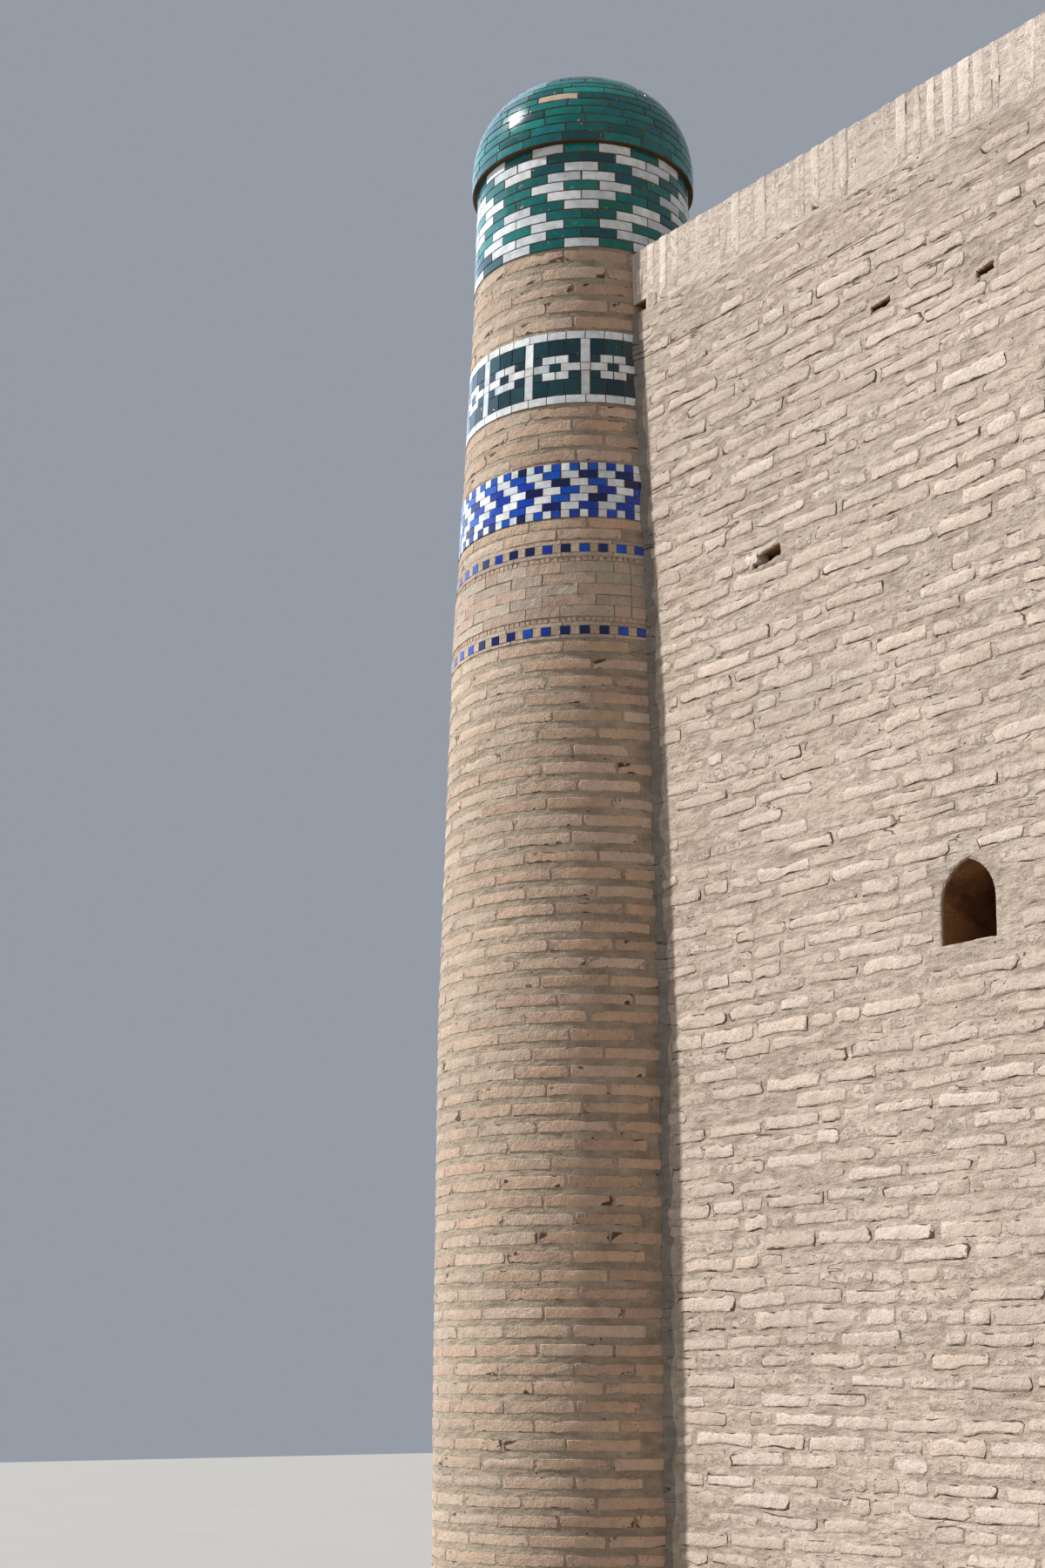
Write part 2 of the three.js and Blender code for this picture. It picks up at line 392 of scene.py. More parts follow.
def turned_solid(profile, quarter, material, closed):
    """A profile of (radius, height) pairs turned about a tower's axis. A closed profile makes a
    ring, and an open one is capped flat at both ends."""
    radius, height = np.array(profile, float).T
    angle = np.arange(ROUND) * TAU / ROUND
    points = tower_point(quarter, angle[None, :], radius[:, None], height[:, None] + 0 * angle)
    number = np.arange(radius.size * ROUND).reshape(radius.size, ROUND)
    lower, upper = (number, np.roll(number, -1, axis=0)) if closed else (number[:-1], number[1:])
    quads = np.stack([lower, np.roll(lower, -1, 1), np.roll(upper, -1, 1), upper], axis=-1)
    caps = [] if closed else [number[0, ::-1], number[-1]]
    sizes = np.array([4] * (quads.size // 4) + [ROUND] * len(caps))
    corners = np.concatenate([quads.ravel(), *caps])
    return plain_part(points.reshape(-1, 3), corners, sizes, material)


def build(name, parts, materials, crease, replaced=()):
    """One object from parts, with the materials in the order that the parts number them. Edges
    sharper than the crease, in degrees, stay crisp. It rides on the building, and the solids that it
    replaces are hidden."""
    offsets = np.cumsum([0] + [len(part["points"]) for part in parts])
    points = np.concatenate([part["points"] for part in parts])
    corners = np.concatenate([part["corners"] + start for part, start in zip(parts, offsets)])
    sizes = np.concatenate([part["sizes"] for part in parts])
    numbers = np.concatenate([np.full(len(part["sizes"]), part["material"]) for part in parts])

    mesh = bpy.data.meshes.new(name)
    mesh.vertices.add(len(points))
    mesh.vertices.foreach_set("co", points.ravel())
    mesh.loops.add(len(corners))
    mesh.loops.foreach_set("vertex_index", corners.astype(np.int32))
    mesh.polygons.add(len(sizes))
    mesh.polygons.foreach_set("loop_start", (np.cumsum(sizes) - sizes).astype(np.int32))
    mesh.polygons.foreach_set("material_index", numbers.astype(np.int32))
    mesh.polygons.foreach_set("use_smooth", np.ones(len(sizes), bool))
    tone = mesh.attributes.new("tone", "FLOAT_COLOR", "POINT")
    tone.data.foreach_set("color", np.concatenate([part["tone"] for part in parts]).ravel())
    for name_of in ("face", "proud", "rim", "lime_and_painted_light"):
        values = mesh.attributes.new(name_of, "FLOAT", "POINT")
        values.data.foreach_set("value", np.concatenate([part[name_of] for part in parts]))
    mesh.update(calc_edges=True)
    mesh.set_sharp_from_angle(angle=math.radians(crease))
    for material in materials:
        mesh.materials.append(material)

    piece = bpy.data.objects.new(name, mesh)
    bpy.context.scene.collection.objects.link(piece)
    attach(piece, "root")
    if replaced:
        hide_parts(*replaced)
    return piece


# Materials

# How far each brick's pattern is moved at most, in metres, the range in which most of a noise lies
# and the middle of it, and the tones of what lies in the mortar, the pits and the cracks and on glaze
PATTERN_SHIFT = 40.0
NOISE = {"From Min": 0.3, "From Max": 0.7}
NOISE_MIDDLE = {"From Min": 0.35, "From Max": 0.65}
PIT_TONE = "#3a2c20"
BRICK_CRACK_TONE = "#482b15"
MORTAR_CRACK_TONE = "#4a2d16"
PLASTER_CRACK_TONE = "#4a3826"
# The lime tone is partly painted light: it pales the mortar on the southwest tower's sunlit side.
LIME_AND_PAINTED_LIGHT_TONE = "#b6a48d"
DAMP_MUD_TONE = "#70492a"
DRY_MUD_TONE = "#a07246"
DIRT_TONE = "#6b5138"
BARE_CLAY_TONE = "#b0906e"


def node(tree, kind, links=None, **settings):
    """Adds a shader node. The settings are its properties, and links fills or joins its inputs,
    named or numbered; a node given there stands for its first output in use."""
    made = tree.nodes.new("ShaderNode" + kind)
    for key, value in settings.items():
        setattr(made, key, value)
    for key, value in (links or {}).items():
        named = [s for s in made.inputs if s.enabled and s.name == key]
        socket = named[0] if named else made.inputs[key]
        if isinstance(value, bpy.types.Node):
            value = next(s for s in value.outputs if s.enabled)
        if isinstance(value, bpy.types.NodeSocket):
            tree.links.new(value, socket)
        else:
            socket.default_value = value
    return made


def per_metre(size):
    """The texture scale of a pattern of this size in millimetres."""
    return 1 / (size * MM)


def start(name):
    """An empty material, a way to add nodes to it, and its Object coordinates."""
    material = bpy.data.materials.new(name)
    material.use_nodes = True
    material.node_tree.nodes.clear()
    add = partial(node, material.node_tree)
    return material, add, add("TexCoord").outputs["Object"]


def finish(add, colour, bump, roughness, **settings):
    """Joins a colour, a bump and a roughness to the surface. The other settings are plain numbers."""
    links = {"Base Color": colour, "Normal": bump, "Roughness": roughness, **settings}
    add("OutputMaterial", {"Surface": add("BsdfPrincipled", links)})


def own_pattern(add, at, tone):
    """Coordinates moved by each brick's own chance, so that no two bricks have the same pattern."""
    chance = add("Math", {0: tone.outputs["Alpha"], 1: PATTERN_SHIFT}, operation="MULTIPLY")
    return add("VectorMath", {0: at, 1: chance}, operation="ADD")


def shaded(add, first, *others):
    """How light a surface is at each place: the product of some ranges."""
    shade = add("MapRange", first)
    for links in others:
        shade = add("Math", {0: shade, 1: add("MapRange", links)}, operation="MULTIPLY")
    return shade


def brick_material(name, mortar, smear, pit_spacing, cracked):
    """Low-fired clay brick, moulded by hand and weathered: matt and grainy, with small pits. Mortar
    is smeared in from the joints and over the low parts of the face, the further in the larger the
    smear is, in millimetres. Here and there it has come away from the brick in a dark, gaping
    line, more often the more it is cracked, high on the building and beside the long crack."""
    material, add, at = start(name)
    tone = add("Attribute", attribute_name="tone")
    rim = add("Attribute", attribute_name="rim").outputs["Fac"]
    proud = add("Attribute", attribute_name="proud").outputs["Fac"]
    own = own_pattern(add, at, tone)
    rough = {"Vector": own, "Detail": 5.0, "Roughness": 0.6}
    grain = add("TexNoise", {"Vector": own, "Scale": per_metre(7), "Detail": 4.0})
    cloud = add("TexNoise", {"Scale": per_metre(48), **rough})
    ragged = add("TexNoise", {"Scale": per_metre(22), **rough})
    waver = add("TexNoise", {"Vector": own, "Scale": per_metre(26), "Detail": 2.0})
    stain = add("TexNoise", {"Vector": at, "Scale": per_metre(650), "Detail": 4.0})
    parted = add("TexNoise", {"Vector": at, "Scale": per_metre(85), "Detail": 2.0})
    place = add("SeparateXYZ", {"Vector": at})

    light = {"Value": cloud, **NOISE, "To Min": 0.86, "To Max": 1.1}
    speckle = {"Value": grain, **NOISE, "To Min": 0.86, "To Max": 1.1}
    weather = {"Value": stain, **NOISE_MIDDLE, "To Min": 0.9, "To Max": 1.06}
    shade = shaded(add, light, speckle, weather)
    clay = add("VectorMath", {0: tone.outputs["Color"], 1: shade}, operation="MULTIPLY")

    height = add("MapRange", {"Value": proud, "To Min": 3.0, "To Max": 20.0})
    bitten = add("MapRange", {"Value": ragged, "To Min": -22.0, "To Max": 22.0})
    luck = add("MapRange", {"Value": tone.outputs["Alpha"], "To Min": -5.0, "To Max": 5.0})
    inward = add("Math", {0: rim, 1: height}, operation="MINIMUM")
    for change in (bitten, luck):
        inward = add("Math", {0: inward, 1: change}, operation="ADD")
    reach = {"Value": inward, "From Min": smear, "From Max": smear + 2.0, "To Min": 1.0, "To Max": 0.0}
    smeared = add("MapRange", reach)
    mud = add("VectorMath", {0: linear(mortar), 1: shade}, operation="MULTIPLY")
    mixed = add("Mix", {"Factor": smeared, "A": clay, "B": mud}, data_type="RGBA")

    cell = add("TexVoronoi", {"Vector": own, "Scale": per_metre(pit_spacing)})
    middle = {"Value": cell, "From Min": 0.1, "From Max": 0.2, "To Min": 1.0, "To Max": 0.0}
    patchy = {"Value": cloud, "From Min": 0.52, "From Max": 0.6}
    pit = shaded(add, middle, patchy)
    hole = add("Math", {0: pit, 1: 0.6}, operation="MULTIPLY")
    colour = add("Mix", {"Factor": hole, "A": mixed, "B": rgba(PIT_TONE)}, data_type="RGBA")

    higher = {"Value": place.outputs["Z"], "From Min": 5.2, "From Max": 6.6, "To Max": 0.05}
    parted = add("Math", {0: parted, 1: add("MapRange", higher)}, operation="ADD")
    above = add("Math", {0: place.outputs["Z"], 1: LONG_CRACK * MM}, operation="SUBTRACT")
    above = add("Math", {0: above}, operation="ABSOLUTE")
    near = {"From Min": 0.007, "From Max": 0.014, "To Min": 0.16 + cracked, "To Max": 0.0}
    parted = add("Math", {0: parted, 1: add("MapRange", {"Value": above, **near})}, operation="ADD")
    gape = {"From Min": 0.54 - cracked, "From Max": 0.74 - cracked, "To Min": -1.0, "To Max": 7.5}
    wander = add("MapRange", {"Value": waver, "To Min": -10.0, "To Max": 7.0})
    line = add("Math", {0: rim, 1: wander}, operation="ADD")
    line = add("Math", {0: line}, operation="ABSOLUTE")
    line = add("Math", {0: line, 1: add("MapRange", {"Value": parted, **gape})}, operation="SUBTRACT")
    fade = {"From Min": -0.8, "From Max": 0.8, "To Min": 0.92, "To Max": 0.0}
    crack = add("MapRange", {"Value": line, **fade})
    colour = add("Mix", {"Factor": crack, "A": colour, "B": rgba(BRICK_CRACK_TONE)}, data_type="RGBA")

    swell = add("Math", {0: cloud, 1: 3.0}, operation="MULTIPLY")
    relief = add("Math", {0: grain, 1: swell}, operation="ADD")
    for lowered in (pit, smeared, crack):
        relief = add("Math", {0: relief, 1: lowered}, operation="SUBTRACT")
    bump = add("Bump", {"Height": relief, "Strength": 1.0, "Distance": 3 * MM})
    finish(add, colour, bump, 0.93)
    return material


def mortar_material(name, pale, deep, cracked):
    """Mud and lime mortar, pressed in by hand and streaked by rain: matt, lumpy and grainy. Fine
    dark cracks run along it, about level, where a noise that is drawn out sideways is near its
    middle, and a few small holes are left. The more it is cracked, the more of the cracks are open.
    One bed joint has a long crack. A wash of lime makes the mortar paler where the
    lime_and_painted_light attribute is set; on the southwest tower's sunlit side that paleness is
    partly painted light. Behind the outer faces it is brown mud plaster."""
    material, add, at = start(name)
    grain = add("TexNoise", {"Vector": at, "Scale": per_metre(6), "Detail": 5.0})
    laid = add("VectorMath", {0: at, 1: (0.5, 0.5, 1.0)}, operation="MULTIPLY")
    lump = add("TexNoise", {"Vector": laid, "Scale": per_metre(30), "Detail": 4.0})
    stain = add("TexNoise", {"Vector": at, "Scale": per_metre(520), "Detail": 4.0})
    patch = add("TexNoise", {"Vector": laid, "Scale": per_metre(90), "Detail": 3.0})
    drawn = add("VectorMath", {0: at, 1: (1.0, 1.0, 0.2)}, operation="MULTIPLY")
    streak = add("TexNoise", {"Vector": drawn, "Scale": per_metre(9), "Detail": 2.0})
    place = add("SeparateXYZ", {"Vector": at})

    mix = add("Math", {0: lump, 1: patch}, operation="ADD")
    mix = add("MapRange", {"Value": mix, "From Min": 0.75, "From Max": 1.25})
    base = add("Mix", {"Factor": mix, "A": rgba(deep), "B": rgba(pale)}, data_type="RGBA")
    speckle = {"Value": grain, **NOISE, "To Min": 0.85, "To Max": 1.12}
    weather = {"Value": stain, **NOISE_MIDDLE, "To Min": 0.9, "To Max": 1.07}
    rain = {"Value": streak, **NOISE, "To Min": 0.92, "To Max": 1.06}
    shade = shaded(add, speckle, weather, rain)
    # Partly painted light: the wash of lime pales the mortar where the attribute is set.
    lime_and_painted_light = add("Attribute", attribute_name="lime_and_painted_light").outputs["Fac"]
    lime_and_painted_light = add("Math", {0: lime_and_painted_light, 1: 0.42}, operation="MULTIPLY")
    base = add("Mix", {"Factor": lime_and_painted_light, "A": base, "B": rgba(LIME_AND_PAINTED_LIGHT_TONE)}, data_type="RGBA")
    base = add("VectorMath", {0: base, 1: shade}, operation="MULTIPLY")

    pressed = add("VectorMath", {0: at, 1: (0.16, 0.16, 1.0)}, operation="MULTIPLY")
    level = add("TexNoise", {"Vector": pressed, "Scale": per_metre(85), "Detail": 4.0})
    edge = add("Math", {0: level, 1: 0.5}, operation="SUBTRACT")
    edge = add("Math", {0: edge}, operation="ABSOLUTE")
    higher = {"Value": place.outputs["Z"], "From Min": 5.6, "From Max": 6.6, "To Max": 0.06}
    parted = add("Math", {0: patch, 1: add("MapRange", higher)}, operation="ADD")
    gape = {"From Min": 0.52 - cracked, "From Max": 0.7 - cracked, "To Min": -0.007, "To Max": 0.006}
    line = add("Math", {0: edge, 1: add("MapRange", {"Value": parted, **gape})}, operation="SUBTRACT")
    fade = {"From Min": -0.004, "From Max": 0.004, "To Min": 0.85, "To Max": 0.0}
    crack = add("MapRange", {"Value": line, **fade})

    cell = add("TexVoronoi", {"Vector": at, "Scale": per_metre(60)})
    fade = {"From Min": 0.05, "From Max": 0.08, "To Min": 0.85, "To Max": 0.0}
    hole = add("MapRange", {"Value": cell, **fade})

    drift = add("MapRange", {"Value": level, "To Min": -14.0 * MM, "To Max": 14.0 * MM})
    above = add("Math", {0: place.outputs["Z"], 1: (LONG_CRACK - 3) * MM}, operation="SUBTRACT")
    above = add("Math", {0: above, 1: drift}, operation="ADD")
    above = add("Math", {0: above}, operation="ABSOLUTE")
    wide = {"Value": patch, "From Min": 0.4, "From Max": 0.62, "To Min": -1 * MM, "To Max": 2.5 * MM}
    above = add("Math", {0: above, 1: add("MapRange", wide)}, operation="SUBTRACT")
    fade = {"From Min": -0.8 * MM, "From Max": 0.8 * MM, "To Min": 0.9, "To Max": 0.0}
    long_crack = add("MapRange", {"Value": above, **fade})
    for other in (hole, long_crack):
        crack = add("Math", {0: crack, 1: other}, operation="MAXIMUM")
    base = add("Mix", {"Factor": crack, "A": base, "B": rgba(MORTAR_CRACK_TONE)}, data_type="RGBA")

    across = add("Math", {0: place.outputs["X"]}, operation="ABSOLUTE")
    along = add("Math", {0: place.outputs["Y"]}, operation="ABSOLUTE")
    outward = add("Math", {0: across, 1: along}, operation="MAXIMUM")
    behind = {"Value": outward, "From Min": (WALL_FACE - 14) * MM, "From Max": (WALL_FACE - 4) * MM}
    inside = add("MapRange", {**behind, "To Min": 1.0, "To Max": 0.0})
    dry = add("MapRange", {"Value": patch, "From Min": 0.4, "From Max": 0.6})
    tones_of_mud = {"A": rgba(DAMP_MUD_TONE), "B": rgba(DRY_MUD_TONE)}
    mud = add("Mix", {"Factor": dry, **tones_of_mud}, data_type="RGBA")
    mud = add("VectorMath", {0: mud, 1: shade}, operation="MULTIPLY")
    colour = add("Mix", {"Factor": inside, "A": base, "B": mud}, data_type="RGBA")

    swell = add("Math", {0: lump, 1: 4.0}, operation="MULTIPLY")
    relief = add("Math", {0: grain, 1: swell}, operation="ADD")
    relief = add("Math", {0: relief, 1: crack}, operation="SUBTRACT")
    bump = add("Bump", {"Height": relief, "Strength": 1.0, "Distance": 3.5 * MM})
    finish(add, colour, bump, 0.96)
    return material


def plaster_material(name, pale, deep):
    """Clay or lime plaster, smoothed by hand: matt, soft and a little speckled, with a few shrinkage
    cracks. Faces that point down are darkened with painted shade."""
    material, add, at = start(name)
    grain = add("TexNoise", {"Vector": at, "Scale": per_metre(8), "Detail": 4.0})
    cloud = add("TexNoise", {"Vector": at, "Scale": per_metre(220), "Detail": 4.0})
    mix = add("MapRange", {"Value": cloud, **NOISE_MIDDLE})
    base = add("Mix", {"Factor": mix, "A": rgba(deep), "B": rgba(pale)}, data_type="RGBA")
    facing = add("SeparateXYZ", {"Vector": add("NewGeometry").outputs["Normal"]}).outputs["Z"]
    speckle = {"Value": grain, **NOISE, "To Min": 0.9, "To Max": 1.1}
    # Painted shade: where the normal points down, the colour is darkened.
    under = {"Value": facing, "From Min": -0.9, "From Max": -0.5, "To Min": 0.35, "To Max": 1.0}
    base = add("VectorMath", {0: base, 1: shaded(add, speckle, under)}, operation="MULTIPLY")

    bent = add("MapRange", {"Value": cloud, "To Min": -0.08, "To Max": 0.08})
    bent = add("VectorMath", {0: at, 1: bent}, operation="ADD")
    cells = {"Vector": bent, "Scale": per_metre(240)}
    edge = add("TexVoronoi", cells, feature="DISTANCE_TO_EDGE")
    fade = {"From Min": 0.006, "From Max": 0.014, "To Min": 0.7, "To Max": 0.0}
    crack = add("MapRange", {"Value": edge, **fade})
    colour = add("Mix", {"Factor": crack, "A": base, "B": rgba(PLASTER_CRACK_TONE)}, data_type="RGBA")

    relief = add("Math", {0: grain, 1: crack}, operation="SUBTRACT")
    bump = add("Bump", {"Height": relief, "Strength": 0.7, "Distance": 2 * MM})
    finish(add, colour, bump, 0.95)
    return material


def glaze_material(name, dirt, chips):
    """Glazed fired clay: a glassy coat that pools and wavers, bright where it is clean, dirty along
    the joints, and chipped through to buff clay in places, first at the edges. The larger chips is,
    the more of it has gone."""
    material, add, at = start(name)
    tone = add("Attribute", attribute_name="tone")
    face = add("Attribute", attribute_name="face").outputs["Fac"]
    own = own_pattern(add, at, tone)
    pool = add("TexNoise", {"Vector": own, "Scale": per_metre(38), "Detail": 3.0})
    speck = add("TexNoise", {"Vector": own, "Scale": per_metre(5), "Detail": 3.0})
    chip = {"Vector": own, "Scale": per_metre(26), "Detail": 5.0, "Roughness": 0.65}

    depth = add("MapRange", {"Value": pool, **NOISE, "To Min": 0.78, "To Max": 1.16})
    glass = add("VectorMath", {0: tone.outputs["Color"], 1: depth}, operation="MULTIPLY")

    edge = {"Value": face, "From Min": 0.1, "From Max": 0.45, "To Min": 0.6, "To Max": 0.0}
    film = {"Value": speck, "From Min": 0.5, "From Max": 0.75, "To Min": 0.0, "To Max": dirt}
    dirty = add("Math", {0: add("MapRange", edge), 1: add("MapRange", film)}, operation="MAXIMUM")
    soiled = add("Mix", {"Factor": dirty, "A": glass, "B": rgba(DIRT_TONE)}, data_type="RGBA")

    kept = add("Math", {0: face, 1: 0.07}, operation="MULTIPLY")
    worn = add("Math", {0: add("TexNoise", chip), 1: kept}, operation="SUBTRACT")
    gone = add("MapRange", {"Value": worn, "From Min": 0.64 - chips, "From Max": 0.66 - chips})
    colour = add("Mix", {"Factor": gone, "A": soiled, "B": rgba(BARE_CLAY_TONE)}, data_type="RGBA")
    rough = add("MapRange", {"Value": dirty, "To Min": 0.16, "To Max": 0.6})
    rough = add("Math", {0: rough, 1: gone}, operation="MAXIMUM")

    relief = add("Math", {0: pool, 1: gone}, operation="SUBTRACT")
    bump = add("Bump", {"Height": relief, "Strength": 0.4, "Distance": 1.7 * MM})
    finish(add, colour, bump, rough, IOR=1.52)
    return material


def floor_material():
    """Pale matt studio floor, very slightly clouded."""
    material, add, at = start("studio_floor")
    cloud = add("TexNoise", {"Vector": at, "Scale": per_metre(1800), "Detail": 3.0})
    colour = add("Mix", {"Factor": cloud, "A": rgba("#9c978f"), "B": rgba("#a19c94")}, data_type="RGBA")
    bump = add("Bump", {"Height": cloud, "Strength": 0.05, "Distance": 1 * MM})
    finish(add, colour, bump, 0.9)
    return material


# Coursing of the towers and walls

# A tower's courses between its bands, and in millimetres its bricks, their upright joints, how far
# their faces are sunk at most, and how much the level and the height of a course vary
TOWER_ZONES = (
    {"bottom": 0, "top": PANEL_BOTTOM, "courses": 74, "joint": 23},
    {"bottom": PANEL_TOP, "top": CHEVRON_BOTTOM, "courses": 2, "joint": 4},
    {"bottom": CHEVRON_TOP, "top": FRET_BOTTOM, "courses": 4, "joint": 13},
    {"bottom": FRET_TOP, "top": DRUM_BOTTOM, "courses": 5, "joint": 22},
)
TOWER_BRICK = 266
TOWER_JOINT = 3.5
TOWER_SUNK = 0.8
TOWER_LEVEL_SPREAD = 0.8
TOWER_HEIGHT_SPREAD = 1.2

# A wall's bricks: their length with a joint, the pitch and height of a course, the share of halves,
# where the first course starts, the level from which mortar is smeared over them, the shortest cut
# one, and the height and length of the waves of a course
WALL_LENGTH = 274
WALL_PITCH = 70.4
WALL_BRICK_HEIGHT = 54.5
HALF_SHARE = 0.11
WALL_FIRST_LOW = 11.5
SMEARED_FROM = 6150
SHORTEST_CUT = 75
COURSE_WAVE = 6
WAVE_LENGTH = 330

BRICK_TONES = ("#bf9f86", "#ba9a81", "#c3a58d", "#b6967c", "#c19e83", "#bb987e", "#c5a993", "#b4947d")
WALL_TONES = ("#cdb9a8", "#c8b4a2", "#d0beae", "#cab7a6", "#c4b09d", "#ceb9a7")
PARAPET_TONES = ("#dccbba", "#d6c5b4", "#dfcfbf", "#d8c7b6")
TOWER_MORTAR_TONE = "#a89684"
# The smear tone is partly painted light: bricks on the southwest tower's sunlit side go towards it and
# look paler.
TOWER_SMEAR_AND_PAINTED_LIGHT_TONE = "#bdab95"
WALL_MORTAR_TONE = "#b2a08f"
PARAPET_MORTAR_TONE = "#c6b5a4"
WHITE_TONES = ("#e0e3e2", "#d8dbdb", "#e6e8e6", "#ced2d3", "#dbdbd6")
GREEN_TONES = (
    "#046e6a", "#056562", "#045c5c", "#09796f", "#055f61", "#09655b", "#076e70", "#065856", "#094b51",
)
TEAL_TONES = ("#0b333c", "#0e3b44", "#092c37", "#103f43")
COBALT_TONES = ("#0337a4", "#022d96", "#021562", "#0446ae", "#020d48", "#054fb2", "#03329a")
PINK_TONES = ("#b79d89", "#baa08c", "#b39985")
GREY_TONES = ("#b0a08e", "#ac9c8a", "#b3a391")
BUFF_TONES = ("#bda68e", "#b8a189", "#b49b80")

# How each kind of brick or tile is shaped, in millimetres
TOWER_MAKE = {
    "columns": (0.25, 0.5, 0.75), "rows": (0.5,), "bevel": 4.4, "edge_drop": 1.5, "inset": 20,
    "shift": 0.05, "corner": 3, "wobble": 1.5, "tilt": 1.2, "lean": 0.4, "uneven": 0.4,
    "bed": TOWER_RELIEF,
}
WALL_MAKE = {
    "columns": (0.08, 0.36, 0.64, 0.92), "rows": (0.3, 0.7), "bevel": 5.5, "edge_drop": 1.6,
    "inset": 17, "shift": 0.05, "corner": 6, "wobble": 3.4, "tilt": 4.0, "lean": 0.9, "uneven": 0.9,
    "bed": BRICK_RELIEF,
}
PARAPET_MAKE = {
    "columns": (0.3, 0.7), "rows": (0.2, 0.41, 0.43, 0.45, 0.65, 0.85, 0.87, 0.89), "bevel": 13,
    "edge_drop": 1.4, "inset": 20, "shift": 0, "corner": 4, "wobble": 2.6, "tilt": 1.5, "lean": 0.8,
    "uneven": 0.9, "bed": BRICK_RELIEF,
}
FLAT_MAKE = {"columns": (0.5,), "rows": (), "inset": 20, "shift": 0, "bed": GLAZE_RELIEF}
CUT_MAKE = {
    **FLAT_MAKE, "bevel": 0.5, "edge_drop": 0.2, "corner": 1, "wobble": 0.3, "tilt": 0.2,
    "lean": 0.1, "uneven": 0.2, "bed": BRICK_RELIEF,
}
TILE_MAKE = {
    **FLAT_MAKE, "bevel": 0.8, "edge_drop": 0.2, "corner": 0.8, "wobble": 0.35, "tilt": 0.3,
    "lean": 0.25, "uneven": 0.15,
}
DRUM_MAKE = {
    **FLAT_MAKE, "columns": (0.25, 0.5, 0.75), "bevel": 1.0, "edge_drop": 0.4, "corner": 1.2,
    "wobble": 0.5, "tilt": 0.5, "lean": 0.1, "uneven": 0.1,
}
DOME_MAKE = {
    **DRUM_MAKE, "rows": (0.5,), "bevel": 1.3, "edge_drop": 0.6, "corner": 1.5, "wobble": 0.8,
    "tilt": 0.8, "lean": 0.2, "uneven": 0.2,
}
DOOR_MAKE = {**WALL_MAKE, "bevel": 5, "corner": 4, "tilt": 1.0, "wobble": 1.6, "lean": 0.8}
STUB_MAKE = {**WALL_MAKE, "bed": 60, "wobble": 5}

# How far round a tower's axis the walls fill its corner, to either side of the diagonal, and how far
# under the roof its bricks start behind the parapets
FILLED_CORNER = math.radians(54)
UNDER_ROOF = 20


def exposed(angle, height):
    """Whether a place on a tower shows: outside the corner that the walls fill, or above the roof."""
    from_corner = np.abs((angle - math.pi / 4 + math.pi) % TAU - math.pi)
    return (from_corner > FILLED_CORNER) | (height > ROOF_TOP - UNDER_ROOF)


def shown(cells):
    """The cells of a tower that show."""
    return cells[exposed((cells[:, 0] + cells[:, 1]) / 2, cells[:, HIGH])]


def ring_course(rng, low, high, length, joint, phase, sunk, palette):
    """One course round a tower: joints at about equal angles, each moved a little by chance."""
    radius = face_radius((low + high) / 2)
    count = round(TAU * radius / (length + joint))
    step = TAU / count
    edges = phase + np.arange(count + 1) * step
    edges[:-1] += rng.normal(0, END_JITTER, count) * step
    edges[-1] = edges[0] + TAU
    half = rng.uniform(*JOINT_SPREAD, count + 1) * joint / 2 / radius
    depth = rng.uniform(0, sunk, count)
    colours = tones(rng, palette, count, TONE_SPREAD)
    left, right = edges[:-1] + half[:-1], edges[1:] - half[1:]
    return course(left, right, low, high, radius, depth, colours), step


# The side of a tower that is clean of mortar, and how far from its middle it is still clean and then
# wholly smeared. The smear covers these shares of a brick on the clean side and on the other one,
# and that many times more or less by chance, and sinks a brick by some millimetres. On the southwest
# tower the smeared side is the sunlit one: its paler, greyer colour is partly painted light, and the
# clean side's pinker, darker colour is partly painted shade.
CLEAN_BEARING = math.radians(-5)
CLEAN_REACH = math.radians(25)
SMEARED_REACH = math.radians(75)
CLEAN_SHARE = 0.1
SMEARED_SHARE = 0.6
SMEAR_SPREAD = (0.5, 1.4)
SMEAR_DEPTH = 1.5


def smear_and_painted_light_at(angle):
    """How much mortar is smeared over a tower at each angle: from 0 on its clean side to 1. The same
    share paints light: on the southwest tower it is highest on the sunlit side, which it makes paler.
    """
    away = np.abs((angle - CLEAN_BEARING + math.pi) % TAU - math.pi)
    return np.interp(away, (CLEAN_REACH, SMEARED_REACH), (0, 1))


def smeared(rng, cells):
    """Bricks of a tower with mortar smeared over them away from the clean side: they stand less
    proud, and their colour goes towards the smear's. On the southwest tower's sunlit side that paler
    colour is partly painted light."""
    more = (SMEARED_SHARE - CLEAN_SHARE) * smear_and_painted_light_at((cells[:, 0] + cells[:, 1]) / 2)
    share = (CLEAN_SHARE + more) * rng.uniform(*SMEAR_SPREAD, len(cells))
    cells[:, SUNK] += SMEAR_DEPTH * share
    share = share.clip(0, 1)[:, None]
    cells[:, TONE] = cells[:, TONE] * (1 - share) + linear(TOWER_SMEAR_AND_PAINTED_LIGHT_TONE) * share
    return cells


